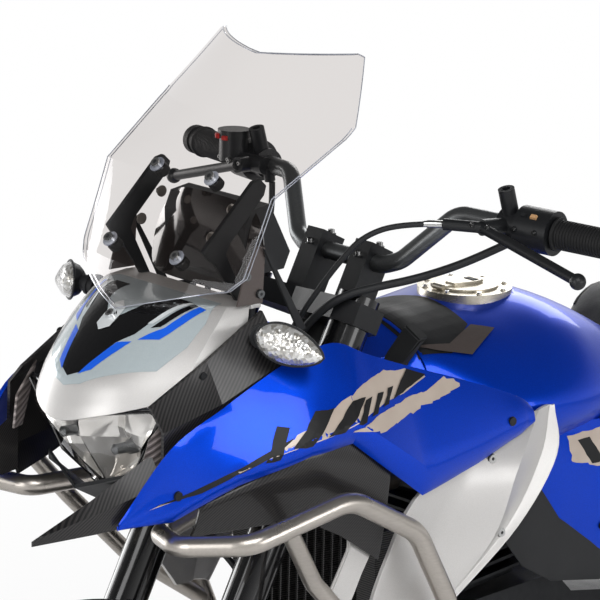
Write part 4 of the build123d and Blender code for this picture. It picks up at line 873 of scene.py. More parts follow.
@cache
def link_tree() -> bpy.types.NodeTree:
    """A chain link of two side plates and a roller on each point.

    Returns:
        The tree.
    """
    tree = Tree("chain_links")
    pitch = tree.size("Pitch", 0.0159)
    plate_size = tree.size("Plate Size", (0.026, 0.0125, 0.0018), "NodeSocketVector")
    reach = tree.size("Half Width", 0.006)
    roller = tree.size("Roller Radius", 0.005)
    finish = tree.finish("Link Finish")
    plate = tree.node("GeometryNodeMeshCube", {"Size": plate_size}).outputs[0]
    pin = tree.moved(tree.cylinder(roller, tree.scaled(reach, 2.0), 8), "X", tree.scaled(pitch, 0.5))
    return tree.close(tree.coated(tree.on_points(tree.together(
        tree.raised(plate, reach), tree.raised(plate, reach, -1.0), pin)), finish))


def grown(name: str, tree: bpy.types.NodeTree, spots: Sequence[tuple[Vector, Vector, Vector]],
          values: dict[str, object]) -> Piece:
    """Grow a tree's shapes on points and keep the plain mesh.

    Args:
        name: the piece's name.
        tree: the geometry node tree.
        spots: place, facing and along vectors of each shape, in metres.
        values: the tree's inputs by name.

    Returns:
        The mesh object.
    """
    mesh = bpy.data.meshes.new(name)
    mesh.from_pydata([tuple(s[0]) for s in spots], [], [])
    for number, key in ((1, "facing"), (2, "along")):
        layer = mesh.attributes.new(key, "FLOAT_VECTOR", "POINT")
        layer.data.foreach_set("vector", [c for s in spots for c in s[number]])
    made = linked(name, mesh)
    modifier = made.modifiers.new("grow", "NODES")
    modifier.node_group = tree
    for item in tree.interface.items_tree:
        if item.in_out == "INPUT" and item.name in values:
            modifier[item.identifier] = values[item.name]
    made.update_tag()
    plain = baked(made).data
    bpy.data.meshes.remove(mesh)
    for key in ("facing", "along"):
        if key in plain.attributes:
            plain.attributes.remove(plain.attributes[key])
    plain.name = name
    return made


def blocks(name: str, spots: Sequence[tuple[Vector, Vector, Vector]], size: Point, top: float,
           finish: Finish) -> Piece:
    """Tapered blocks on points.

    Args:
        name: the piece's name.
        spots: place, facing and along vectors of each block, in metres.
        size: length, width and height in millimetres.
        top: the top's share of the foot.
        finish: the blocks' finish.

    Returns:
        The blocks as one mesh.
    """
    return grown(name, block_tree(), spots, {"Block Size": tuple(s * MM for s in size), "Top Share": top,
                                             "Block Finish": finish.material()})


def side_on(facing: Vector) -> Vector:
    """Any unit vector square to a facing."""
    other = facing.cross(Vector((0, 1, 0)))
    return other.normalized() if other.length > 0.1 else facing.cross(Vector((1, 0, 0))).normalized()


class Head(Enum):
    """Kinds of screw head: (sides, head share of the washer, recess share of the head)."""

    HEX = (6, 0.66, 0.0)
    SOCKET = (20, 0.7, 0.5)
    BUTTON = (24, 0.9, 0.42)
    WELL = (28, 0.62, 0.5)


@dataclass
class Screws:
    """Screws of one size set on one node.

    Attributes:
        name: the piece's name.
        node: the node that they are screwed into.
        spots: (place, direction of the screw) in millimetres.
        radius: washer radius in millimetres.
        height: head height in millimetres.
        head: the kind of head.
        finish: the heads' finish.
        washer: the washers' finish.
        mirrored: whether the other side has them too.
        drop: whether they are dropped onto the node's skin.
    """

    name: str
    node: str
    spots: list[tuple[Point, Point]]
    radius: float
    height: float
    head: Head
    finish: Finish = Palette.STEEL_BRIGHT
    washer: Finish = Palette.STEEL
    mirrored: bool = True
    drop: bool = True

    def build(self, body: Body, slot: str) -> Piece:
        """Set the screws and let them ride.

        Args:
            body: the body that they ride on.
            slot: the record's material slot.

        Returns:
            The screws as one piece.
        """
        laid = []
        for spot, way in self.spots:
            for point, direction in [(spot, way)] + ([(flip(spot), flip(way))] if self.mirrored else []):
                fall = Vector(direction).normalized()
                at = Vector(point) * MM
                if self.drop:
                    at, _ = Surface.of(self.node).drop(at, fall)
                laid.append((at, -fall, side_on(fall)))
        sides, share, recess = self.head.value
        # Each drive recess is finished black: painted shade where the socket's hole would be.
        return place(grown(self.name, screw_tree(), laid, {
            "Sides": sides, "Head Radius": self.radius * share * MM, "Head Height": self.height * MM,
            "Washer Radius": self.radius * MM, "Washer Height": 0.28 * self.height * MM,
            "Recess Radius": max(0.0002, self.radius * share * recess * MM), "Head Finish": self.finish.material(),
            "Washer Finish": self.washer.material(), "Recess Finish": Palette.BLACK_PLASTIC.material()}), body, slot)


# ---------------------------------------------------------------- simple forms
def curve_through(points: Sequence[Sequence[float]], parts: int) -> list[Vector]:
    """Points on a smooth line through the given ones.

    Args:
        points: two or more points.
        parts: how many steps each run gets.

    Returns:
        The points of the line, in the same unit.
    """
    given = [Vector(p) for p in points]
    padded = [given[0] * 2 - given[1], *given, given[-1] * 2 - given[-2]]
    line = []
    for a, b, c, d in zip(padded, padded[1:], padded[2:], padded[3:]):
        for part in range(parts):
            t = part / parts
            line.append(0.5 * ((2 * b) + (c - a) * t + (2 * a - 5 * b + 4 * c - d) * t * t
                               + (3 * b - a - 3 * c + d) * t ** 3))
    line.append(given[-1])
    return line


def strips(rings: int, count: int) -> list[tuple[int, ...]]:
    """Quads between closed rings of points that follow each other."""
    return [(r * count + s, r * count + (s + 1) % count, (r + 1) * count + (s + 1) % count, (r + 1) * count + s)
            for r in range(rings - 1) for s in range(count)]


def ringed(name: str, rings: Sequence[Sequence[Vector]], finish: Coating) -> Piece:
    """A closed form through rings of points in metres, with flat ends.

    Args:
        name: the piece's name.
        rings: rings of points, all of one length.
        finish: its finish.

    Returns:
        The closed form.
    """
    count, last = len(rings[0]), len(rings) - 1
    faces = strips(len(rings), count)
    faces += [tuple(reversed(range(count))), tuple(last * count + s for s in range(count))]
    return outward(new_piece(name, [p for ring in rings for p in ring], faces, finish))


def circle(centre: Vector, across: Vector, over: Vector, radius: float, sides: int) -> list[Vector]:
    """Points in metres round a centre, at a radius in millimetres."""
    return [centre + (across * math.cos(turn) + over * math.sin(turn)) * radius * MM
            for turn in (2 * math.pi * step / sides for step in range(sides))]


def turned(name: str, start: Vector, end: Vector, profile: Sequence[tuple[float, float]], finish: Coating,
           sides: int = 28) -> Piece:
    """Spin a profile round the line from start towards end.

    Args:
        name: the piece's name.
        start: where the profile starts, in metres.
        end: a point that gives its direction.
        profile: (distance along the line in metres, radius in millimetres).
        finish: the finish.
        sides: steps round the line.

    Returns:
        The closed mesh.
    """
    run = (end - start).normalized()
    across = side_on(run)
    rings = [circle(start + run * distance, across, run.cross(across), radius, sides) for distance, radius in profile]
    return shade(ringed(name, rings, finish), EDGE_ANGLE)


def tube(name: str, points: Sequence[Vector], radius: float, finish: Coating, sides: int) -> Piece:
    """A closed tube along points in metres.

    Args:
        name: the piece's name.
        points: its centreline in metres.
        radius: its radius in millimetres.
        finish: its finish.
        sides: steps round it.

    Returns:
        The tube.
    """
    rings = []
    last = len(points) - 1
    side = None
    for number, point in enumerate(points):
        run = (points[min(number + 1, last)] - points[max(number - 1, 0)]).normalized()
        side = side_on(run) if side is None else (side - run * side.dot(run)).normalized()
        rings.append(circle(point, side, run.cross(side), radius, sides))
    return shade(ringed(name, rings, finish), TUBE_ANGLE)


def slab(name: str, outline: Sequence[Sequence[float]], thick: float, way: Point, finish: Coating,
         bevel: float = 0.8) -> Piece:
    """A flat-sided solid with rounded edges, from an outline and a direction.

    Args:
        name: the piece's name.
        outline: the closed outline in millimetres.
        thick: its thickness in millimetres.
        way: the direction in which it is thickened.
        finish: its finish.
        bevel: edge radius in millimetres.

    Returns:
        The solid.
    """
    push = Vector(way).normalized() * thick * MM
    ring = metres(outline)
    count = len(ring)
    faces = [tuple(range(count)), tuple(range(2 * count - 1, count - 1, -1)), *strips(2, count)]
    piece = outward(new_piece(name, ring + [p + push for p in ring], faces, finish))
    with editing(piece.data) as work:
        bmesh.ops.bevel(work, geom=list(work.edges), offset=bevel * MM, segments=2, affect="EDGES",
                        clamp_overlap=True)
        bmesh.ops.triangulate(work, faces=[f for f in work.faces if len(f.verts) > 4])
    return shade(piece, EDGE_ANGLE)


# ---------------------------------------------------------------- studio and cords
@dataclass
class Studio:
    """Camera, soft lamps, floor and backdrop.

    Attributes:
        eye: the camera's place in metres.
        azimuth: bearing of the camera from the machine, in degrees.
        rise: how far the camera looks down, in degrees.
        roll: the camera's roll in degrees.
        lens: focal length for a 36 mm sensor.
        reach: half the floor's width in metres.
    """

    eye: Point = (3.616, 3.692, 2.093)
    azimuth: float = 49.28
    rise: float = 13.04
    roll: float = 1.407
    lens: float = 246.3
    reach: float = 14.0

    # Each lamp's name, place, aim, size in metres and power in watts.
    LAMPS = (
        ("key", (2.2, 3.0, 3.6), (0.3, 0.1, 0.8), (2.6, 2.0), 95.0),
        ("front", (4.2, 0.4, 1.6), (0.5, 0.0, 0.8), (1.6, 2.2), 42.0),
        ("side", (-0.6, 4.2, 1.5), (0.0, 0.2, 0.7), (2.6, 1.6), 45.0),
        ("back", (-3.4, -2.4, 2.8), (0.0, 0.0, 0.8), (2.2, 2.0), 60.0),
        ("right", (1.2, -4.0, 0.9), (0.1, 0.0, 0.7), (2.2, 2.0), 60.0),
    )

    def camera(self) -> None:
        """Place the scene's camera."""
        phi, theta, rho = (math.radians(a) for a in (self.azimuth, self.rise, self.roll))
        back = Vector((math.cos(phi) * math.cos(theta), math.sin(phi) * math.cos(theta), math.sin(theta)))
        level = Vector((-math.sin(phi), math.cos(phi), 0))
        raised = back.cross(level)
        right = level * math.cos(rho) + raised * math.sin(rho)
        above = raised * math.cos(rho) - level * math.sin(rho)
        data = bpy.data.cameras.new("camera")
        data.lens = self.lens
        data.clip_end = 60.0
        made = linked("camera", data)
        made.matrix_world = Matrix((right, above, back)).transposed().to_4x4()
        made.location = self.eye
        bpy.context.scene.camera = made

    def lamps(self) -> None:
        """Add the soft rectangular lamps."""
        for name, spot, aim, size, power in self.LAMPS:
            data = bpy.data.lights.new(name, "AREA")
            data.shape = "RECTANGLE"
            data.size, data.size_y = size
            data.energy = power
            made = linked(name, data)
            made.location = spot
            made.rotation_euler = (Vector(aim) - Vector(spot)).to_track_quat("-Z", "Y").to_euler()

    def sky(self) -> None:
        """Surroundings: white to the eye, darker overhead in gloss, a neutral fill for the rest."""
        world = bpy.data.worlds.new("studio")
        bpy.context.scene.world = world
        graph = Graph(world, "ShaderNodeOutputWorld")
        rays = graph.node("ShaderNodeLightPath").outputs
        seen = graph.combined(rays["Is Camera Ray"], rays["Is Transmission Ray"], "MAXIMUM")
        height = graph.node("ShaderNodeSeparateXYZ", {0: graph.places["Generated"]}).outputs["Z"]
        strength = graph.combined(seen, graph.spread(height, 1.0, 0.12, 0.04, 0.42), "MAXIMUM")
        fill = graph.node("ShaderNodeBackground", None, {"Color": (0.97, 0.97, 0.98, 1), "Strength": 0.42})
        white = graph.node("ShaderNodeBackground", {"Strength": strength}, {"Color": (1, 1, 1, 1)})
        graph.blend(graph.combined(rays["Is Glossy Ray"], seen, "MAXIMUM"), fill.outputs[0], white.outputs[0])

    def floor(self) -> None:
        """A pale floor that keeps a soft shadow and fades into the surroundings."""
        coat = bpy.data.materials.new("pale_floor")
        graph = Graph(coat)
        shown = graph.node("ShaderNodeLightPath").outputs["Is Camera Ray"]
        far = graph.node("ShaderNodeVectorMath", {0: graph.coordinates}, operation="LENGTH").outputs["Value"]
        share = graph.combined(graph.combined(shown, graph.spread(far, 0.84, 1.0, 1.5, 3.2), "MULTIPLY"),
                               graph.spread(graph.noise(0.2), 0.999, 1.0), "MULTIPLY")
        paint = graph.node("ShaderNodeBsdfDiffuse", None, {"Color": (0.86, 0.86, 0.86, 1)})
        glow = graph.node("ShaderNodeEmission", None, {"Color": (1, 1, 1, 1)})
        graph.blend(share, paint.outputs[0], glow.outputs[0])
        mesh = bpy.data.meshes.new("floor")
        mesh.from_pydata([(x * self.reach, y * self.reach, 0) for x, y in ((-1, -1), (1, -1), (1, 1), (-1, 1))], [],
                         [(0, 1, 2, 3)])
        mesh.materials.append(coat)
        linked("floor", mesh)

    def build(self) -> None:
        """Make the whole studio."""
        bpy.context.scene.view_settings.view_transform = "Standard"
        self.camera()
        self.lamps()
        self.sky()
        self.floor()


@dataclass
class Cord:
    """A cable or hose on one smooth curve.

    Attributes:
        name: the piece's name.
        points: its route in millimetres.
        radius: its radius in millimetres.
    """

    name: str
    points: list[Sequence[float]]
    radius: float

    def build(self, *nodes: str) -> Piece:
        """Args:
            nodes: the solids that it replaces.

        Returns:
            The cord.
        """
        data = bpy.data.curves.new(self.name, "CURVE")
        data.dimensions = "3D"
        line = data.splines.new("NURBS")
        line.points.add(len(self.points) - 1)
        for spot, at in zip(line.points, metres(self.points)):
            spot.co = (*at, 1.0)
        line.order_u = 3
        line.use_endpoint_u = True
        line.resolution_u = 12
        made = linked(self.name, data)
        bare = evaluated(made)
        bpy.data.meshes.remove(bare)
        data.bevel_depth = self.radius * MM
        data.bevel_resolution = 5
        data.use_fill_caps = True
        data.materials.append(Palette.BLACK_PLASTIC.material())
        place(made, Body.STEERING, "black_rubber", *nodes)
        return made


class Cords:
    """The clutch cable, the switch harness and the brake hose."""

    CLUTCH = [(381, 189.2, 1086), (428, 165, 1088), (464, 140, 1072), (481, 120, 1040), (497, 104, 1008),
              (514, 90, 974), (514, 64, 938), (500, 36, 906), (482, 12.9, 884)]
    HARNESS = [(320, 239, 1064), (342, 214, 1046), (366, 186, 1029), (396, 156, 1014), (434, 137, 1007),
               (474, 117, 997), (494, 92, 970), (496, 64, 938), (482, 38, 906), (464, 14.3, 876)]
    HEAD_X = 851.0
    RAKE = 26.0
    HOSE = [
        (-15.8, -203.2, 1190.8), (-24, -192, 1156), (-10, -174, 1124), (26, -158, 1102), (68, -143, 1090),
        (99, -122, 1058), (100, -108, 1008), (95, -103, 950), (95, -103.5, 893), (95, -103, 838),
        (90, -90, 792), (76, -60, 762), (56, -20, 744), (34, 22, 726), (16, 58, 700), (6, 80, 660),
        (2, 86, 612), (2, 87, 562), (8, 84, 514), (10, 76, 468), (-7, 66, 429.5),
    ]

    def steered(self, point: Point) -> Point:
        """A point of the steering frame as a place on the machine.

        Args:
            point: distances along, across and up the steering frame, in millimetres.

        Returns:
            The place in millimetres.
        """
        along, side, up = point
        c, s = math.cos(math.radians(self.RAKE)), math.sin(math.radians(self.RAKE))
        return (self.HEAD_X + along * c - up * s, side, along * s + up * c)

    def build(self) -> None:
        """Make every cord."""
        clutch = Cord("clutch_cable", self.CLUTCH, 3.5).build()
        Cord("switch_harness", self.HARNESS, 5.0).build()
        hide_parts("cables")
        Cord("brake_line", [self.steered(p) for p in self.HOSE], 4.0).build("brake_hose")
        sleeves = [turned("sleeve", *metres(ends), [(0.0, r), (0.018, r), (0.02, r * 0.86), (0.024, r * 0.82)],
                          Palette.STEEL_BRIGHT)
                   for ends, r in ((self.CLUTCH[:2], 4.6), (self.CLUTCH[:-3:-1], 4.4))]
        place(joined("cable_ferrules", sleeves), Body.STEERING, "slider_steel")


# ---------------------------------------------------------------- sub-assemblies
@dataclass
class Wheel:
    """One wheel's tyre with its tread, and the screws of its disc.

    Attributes:
        name: front or rear.
        body: the body that it rides on.
        axle: the axle's x and z.
        outer: tyre radius.
        width: tyre width.
        rim_half: half the rim's width.
        disc_y: the disc's outer face.
        rim: bead radius.
        blocks: tread blocks round each row.
        depth: how far the tread stands above the carcass.
        bolt_circle: radius of the disc's ring of screws.
    """

    name: str
    body: Body
    axle: tuple[float, float]
    outer: float
    width: float
    rim_half: float
    disc_y: float
    rim: float = 216.0
    blocks: int = 40
    depth: float = 7.5
    bolt_circle: float = 33.0

    def spot(self, radius: float, side: float, turn: float) -> Vector:
        """A point of the wheel in metres."""
        return Vector((self.axle[0] + radius * math.cos(turn), side, self.axle[1] + radius * math.sin(turn))) * MM

    def carcass(self) -> Piece:
        """The tyre's rounded body under the tread.

        Returns:
            The closed tyre body.
        """
        half = self.width / 2
        low = self.outer - self.depth
        side = [(self.rim + 0.4, self.rim_half - 12), (self.rim + 10.8, self.rim_half - 9),
                (self.rim + 17, (self.rim_half + half) / 2 - 4), ((self.rim + self.outer) / 2 + 6, half - 2),
                (self.outer - 0.42 * half, half - 7), (low - 1.5, 0.5 * half), (low, 0.2 * half)]
        ring = curve_through([(r, y, 0) for r, y in side] + [(r, -y, 0) for r, y in reversed(side)], 3)
        steps, count = 120, len(ring)
        verts = [self.spot(p.x, p.y, 2 * math.pi * s / steps) for s in range(steps) for p in ring]
        faces = [tuple(v % len(verts) for v in quad) for quad in strips(steps + 1, count)]
        return shade(outward(new_piece("carcass", verts, faces, Palette.RUBBER)), FORM_ANGLE)

    def row(self, radius: float, side: float, lean: float, size: Point, phase: float, skew: float) -> Piece:
        """One ring of tread blocks.

        Args:
            radius: radius of the blocks' middle.
            side: their y.
            lean: how far they lean outwards, in degrees.
            size: length, width and height.
            phase: share of a step by which the ring is turned.
            skew: turn of each block about its own height, in degrees.

        Returns:
            The ring of blocks.
        """
        hand = 1 if side > 0 else -1
        tilt = math.radians(lean)
        spots = []
        for step in range(self.blocks):
            turn = 2 * math.pi * (step + phase) / self.blocks
            radial = Vector((math.cos(turn), 0, math.sin(turn)))
            around = Vector((-math.sin(turn), 0, math.cos(turn)))
            facing = radial * math.cos(tilt) + Vector((0, hand, 0)) * math.sin(tilt)
            along = Matrix.Rotation(math.radians(skew * hand), 3, facing) @ around
            spots.append((self.spot(radius, side, turn), facing, along))
        return blocks("row", spots, size, 0.86, Palette.RUBBER)

    def build(self) -> None:
        """Make the tyre and its screws."""
        half = self.width / 2
        arc = 2 * math.pi * self.outer / self.blocks
        tall = self.depth + 4
        parts = [self.carcass()]
        for side in SIDES:
            phase = 0.0 if side > 0 else 0.5
            # Each row's sink, place across, lean, block length, width and height, shift and skew.
            for sink, across, lean, long, wide, high, shift, skew in (
                    (0.4, 0.2, 2.0, 0.72, 0.34, tall, 0.0, 14.0), (5.5, 0.56, 27.0, 0.62, 0.26, tall, 0.5, 20.0),
                    (0.36 * half, 0.8, 52.0, 0.5, 0.22, tall - 2, 0.0, 8.0)):
                parts.append(self.row(self.outer - tall / 2 - sink, side * across * half, lean,
                                      (arc * long, wide * half, high), phase + shift, skew))
        for side in SIDES:
            marks = [self.spot((self.rim + self.outer) / 2 + 2, side * (half - 2.2), 2 * math.pi * s / 90)
                     for s in range(91)]
            parts.append(tube("rib", marks, 1.2, Palette.RUBBER, 6))
        place(joined(f"{self.name}_tyre_tread", parts), self.body, "black_rubber", f"{self.name}_tyre")
        inwards = (0, -1 if self.disc_y > 0 else 1, 0)
        spots = [(tuple(self.spot(self.bolt_circle, self.disc_y, 2 * math.pi * step / 6) / MM), inwards)
                 for step in range(6)]
        Screws(f"{self.name}_disc_screws", f"{self.name}_disc", spots, 6.5, 4.0, Head.BUTTON, mirrored=False).build(
            self.body, "disc_steel")


class Seats:
    """The rider's and the pillion's cushions."""

    # Each cushion's sections: x, top z, half width and low z.
    ROWS = {
        "rider_cushion": [(-66, 880, 66, 806), (-140, 898, 102, 806), (-230, 892, 128, 812), (-320, 888, 148, 820),
                          (-414, 892, 152, 850)],
        "pillion_cushion": [(-426, 932, 126, 886), (-490, 942, 132, 889), (-560, 947, 130, 892), (-640, 947, 114, 906),
                            (-696, 945, 94, 918)],
    }
    # How far the filling may push the cover out, in millimetres.
    SWELL = 6.0
    CLOTH_FRAMES = 20
    PRESSURE = 4.0
    VOXEL = 0.0065

    def shell(self, name: str, rows: Sequence[tuple[float, float, float, float]]) -> Piece:
        """A crowned closed form through the sections.

        Args:
            name: the piece's name.
            rows: the cushion's sections.

        Returns:
            The closed form.
        """
        rings = []
        steps = 32
        stations = curve_through([(x, top, half) for x, top, half, _ in rows], 5)
        lows = curve_through([(x, low, 0) for x, _, _, low in rows], 5)
        last = len(stations) - 1
        for number, (station, base) in enumerate(zip(stations, lows)):
            pull = 1.0 - 0.16 * max(0.0, 1 - min(number, last - number) / 2.5) ** 2
            middle, rise = (station.y + base.y) / 2, (station.y - base.y) / 2 * pull
            ring = []
            for step in range(steps):
                turn = 2 * math.pi * step / steps
                c, s = math.cos(turn), math.sin(turn)
                across = math.copysign(abs(c) ** 0.42, c) * station.z * pull
                up = math.copysign(abs(s) ** (0.5 if s > 0 else 0.3), s) * rise
                crown = 0.0 if s < 0 else -0.1 * rise * (across / station.z) ** 2
                ring.append(Vector((station.x, across, middle + up + crown)) * MM)
            rings.append(ring)
        return ringed(name, rings, Palette.VINYL)

    def stuffed(self, piece: Piece) -> None:
        """Swell a shell as cloth under pressure, keep each point near its start and smooth it.

        Args:
            piece: the shell.
        """
        remesh = piece.modifiers.new("remesh", "REMESH")
        remesh.mode = "VOXEL"
        remesh.voxel_size = self.VOXEL
        start = [v.co.copy() for v in baked(piece).data.vertices]
        cloth = piece.modifiers.new("cloth", "CLOTH")
        cloth.settings.quality = 5
        cloth.settings.use_pressure = True
        cloth.settings.uniform_pressure_force = self.PRESSURE
        cloth.settings.effector_weights.gravity = 0.0
        cloth.point_cache.frame_end = self.CLOTH_FRAMES
        for frame in range(1, self.CLOTH_FRAMES + 1):
            bpy.context.scene.frame_set(frame)
        baked(piece)
        bpy.context.scene.frame_set(1)
        for vert, old in zip(piece.data.vertices, start):
            move = vert.co - old
            if move.length > self.SWELL * MM:
                vert.co = old + move.normalized() * self.SWELL * MM
        with editing(piece.data) as work:
            for _ in range(3):
                bmesh.ops.smooth_vert(work, verts=work.verts, factor=0.5, use_axis_x=True, use_axis_y=True,
                                      use_axis_z=True)
        smooth = piece.modifiers.new("subdivision", "SUBSURF")
        smooth.levels = smooth.render_levels = 1
        shade(baked(piece), SOFT_ANGLE)

    def edge(self, rows: Sequence[tuple[float, float, float, float]], skin_below: Surface, side: int, share: float,
             lift: float, parts: int) -> list[tuple[Vector, Vector]]:
        """Places and normals along one edge of a cushion's top.

        Args:
            rows: the cushion's sections.
            skin_below: the cushion's skin.
            side: 1 for left, -1 for right.
            share: how far out it runs, as a share of the half width.
            lift: its height above the skin in metres.
            parts: steps between sections.

        Returns:
            Each place in metres and the normal there.
        """
        places = []
        for station in curve_through([(x, top, half) for x, top, half, _ in rows], parts):
            aim = Vector((station.x, side * station.z * share, station.y + 4)) * MM
            hit, normal, _, _ = skin_below.tree.find_nearest(aim)
            places.append((hit + normal * lift, normal))
        return places

    def build(self) -> None:
        """Make both cushions, their piping and stitches."""
        for name, rows in self.ROWS.items():
            piece = self.shell(name, rows)
            self.stuffed(piece)
            if not piece.data.materials:
                piece.data.materials.append(Palette.VINYL.material())
            skin_below = Surface(piece.data)
            place(piece, Body.CHASSIS, "seat_vinyl")
            edges, stitches = [], []
            for side in SIDES:
                line = [spot for spot, _ in self.edge(rows, skin_below, side, 0.93, 0.0006, 5)[1:-1]]
                edges.append(tube("piping", line, 2.0, Palette.BLACK_PLASTIC, 8))
                seam = self.edge(rows, skin_below, side, 0.82, 0.0003, 16)[8:-8]
                stitches += [(hit, normal, (after - hit).normalized())
                             for (hit, normal), (after, _) in zip(seam, seam[1:])]
            piping = place(joined(f"{name}_piping", edges), Body.CHASSIS, "seat_vinyl")
            thread = blocks(f"{name}_stitches", stitches, (4.2, 1.0, 0.7), 0.7, Palette.GREY_PLASTIC)
            place(thread, Body.CHASSIS, "seat_vinyl")
        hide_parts("seat")


class Screen:
    """The clear screen's polished edge with a painted reflection, its screws, brackets and the dash shield behind it.
    """

    SCREWS = [((619, 51, 1141), (-0.72, 0, -0.69)), ((694, 63, 1070), (-0.72, 0, -0.69))]
    SMALL = [((604, 90, 1108), (0, -1, 0)), ((634, 90, 1078), (0, -1, 0))]
    RIVETS = [((627, 122.3, 1041), (0, -1, 0)), ((606, 122.3, 1018), (0, -1, 0))]
    BAR = [(660.6, 93, 1060), (668.1, 93, 1070.1), (594.6, 93, 1144.6), (584, 93, 1147), (574, 93, 1138),
           (577, 93, 1127), (628, 93, 1074), (633, 93, 1062), (602, 93, 1003.5), (615, 93, 1003.5), (650, 93, 1053)]
    SHIELD = [[(598, 0, 1005.5), (597, 60, 1005.5), (588, 106, 1005.5)],
              [(598, 0, 1050), (595.5, 60, 1050), (583, 104, 1050)],
              [(596, 0, 1094), (592, 56, 1092), (577, 92, 1088)],
              [(585, 0, 1116), (582, 50, 1114), (572, 72, 1106)]]
    CHEEK = [(640, 122, 1006), (628, 122, 1048), (612, 122, 1076), (598, 122, 1072), (600, 122, 1006)]
    STRUT = [(606, 124, 1074), (596, 124, 1066), (536, 124, 968), (548, 124, 964)]

    def edge(self) -> None:
        """Fine polished beads along the sheet's sharp edges, grey to pale: a painted reflection of the clear edge."""
        work = bmesh.new()
        work.from_mesh(FRAME["nodes"]["windscreen"].data)
        bmesh.ops.remove_doubles(work, verts=work.verts, dist=1e-5)
        verts, faces = [], []
        for line in work.edges:
            if len(line.link_faces) != 2 or line.calc_face_angle(0) < math.radians(50):
                continue
            a, b = (v.co.copy() for v in line.verts)
            run = (b - a).normalized()
            across = side_on(run)
            faces += [tuple(len(verts) + v for v in quad) for quad in strips(2, 4)]
            for end in (a, b):
                verts += circle(end, across, run.cross(across), 0.8, 4)
        work.free()
        place(new_piece("screen_polished_edge", verts, faces, Palette.EDGE), Body.CHASSIS, "clear_screen")

    def shield(self) -> None:
        """The smoked shield between the screen and the dash."""
        rows = [across_from(half) for half in self.SHIELD]
        wide = len(rows[0])
        faces = [(r * wide + c, r * wide + c + 1, (r + 1) * wide + c + 1, (r + 1) * wide + c)
                 for r in range(len(rows) - 1) for c in range(wide - 1)]
        piece = new_piece("dash_shield", [p for row in rows for p in metres(row)], faces, Palette.SMOKED)
        smooth = piece.modifiers.new("subdivision", "SUBSURF")
        smooth.levels = smooth.render_levels = 2
        wall = piece.modifiers.new("wall", "SOLIDIFY")
        wall.thickness = 2.4 * MM
        wall.offset = 0.0
        place(shade(outward(baked(piece)), FORM_ANGLE), Body.CHASSIS, "black_plastic")
        arms = []
        for side in SIDES:
            arms.append(slab("cheek", sided(self.CHEEK, side), 2.2, (0, -side, 0), Palette.BROWN_GREY))
            arms.append(slab("strut", sided(self.STRUT, side), 3.0, (0, side, 0), Palette.BLACK_METAL))
        place(joined("dash_struts", arms), Body.CHASSIS, "black_plastic")
        Screws("strut_rivets", "screen_brackets", self.RIVETS, 5.5, 3.0, Head.BUTTON, Palette.TITANIUM,
               Palette.BLACK_METAL, drop=False).build(Body.CHASSIS, "black_plastic")

    def build(self) -> None:
        """Dress the screen."""
        self.edge()
        plates = [slab("bar", sided(self.BAR, side), 6.0, (0, -side, 0), Palette.BLACK_METAL, 0.6) for side in SIDES]
        place(joined("screen_bars", plates), Body.CHASSIS, "black_plastic", "screen_brackets")
        # The clear washers take the edge beads' grey-to-pale tone, a painted reflection.
        Screws("screen_screws", "windscreen", self.SCREWS, 10.0, 5.0, Head.WELL, Palette.STEEL_BRIGHT,
               Palette.EDGE).build(Body.CHASSIS, "lamp_chrome")
        Screws("bracket_screws", "screen_brackets", self.SMALL, 7.0, 5.0, Head.HEX, Palette.STEEL_BRIGHT).build(
            Body.CHASSIS, "black_plastic")
        spacers = []
        for spot, way in self.SCREWS:
            run = Vector(way)
            for start in metres([spot, flip(spot)]):
                hit, _ = Surface.of("windscreen").drop(start - run * 0.03, run)
                spacers.append(turned("spacer", hit + run * 0.0045, hit + run * 0.016,
                                      [(0.0, 8.0), (0.002, 9.0), (0.0095, 9.0), (0.0115, 7.0)], Palette.RUBBER, 24))
        place(joined("screen_spacers", spacers), Body.CHASSIS, "black_rubber")
        self.shield()


# ---------------------------------------------------------------- smooth bodywork
Grid = list[list[Vector]]

# Edge radius of a skin in millimetres.
EASED = 0.9


def across_from(half: Sequence[Sequence[float]]) -> list[Point]:
    """A row across the machine from its left half, which starts in the middle."""
    return sided(half[:0:-1]) + list(half)


def bent_grid(stations: Sequence[Sequence[Sequence[float]]], along: int, across: int, crown: float,
              smooth_across: bool, straight_edges: bool = False) -> Grid:
    """A fine grid through rows of points.

    Args:
        stations: rows of points in millimetres, all of one length.
        along: steps between stations, on a smooth line.
        across: steps between a station's points.
        crown: how far each straight facet swells outwards in millimetres.
        smooth_across: whether a station's own points lie on one smooth line.
        straight_edges: whether only the sideways swell is smooth from station to station.

    Returns:
        The grid's rows in millimetres.
    """
    columns = [curve_through([station[c] for station in stations], along) for c in range(len(stations[0]))]
    if straight_edges:
        for number, column in list(enumerate(columns))[1:]:
            for step, point in enumerate(column):
                before = min(step // along, len(stations) - 2)
                a, b = (Vector(stations[before + k][number]) for k in (0, 1))
                part = step / along - before
                point.x, point.z = a.x + (b.x - a.x) * part, a.z + (b.z - a.z) * part
    rows: Grid = []
    for number in range(len(columns[0])):
        given = [column[number] for column in columns]
        if smooth_across:
            rows.append(curve_through(given, across))
            continue
        line = []
        for a, b in zip(given, given[1:]):
            edge = b - a
            out = Vector((0, edge.z, -edge.y)) if abs(edge.z) + abs(edge.y) > 1e-6 else Vector((0, 1, 0))
            out = out.normalized() * (1 if out.y > 0 else -1)
            for part in range(across):
                t = part / across
                line.append(a + edge * t + out * crown * 4 * t * (1 - t))
        line.append(given[-1])
        rows.append(line)
    return rows


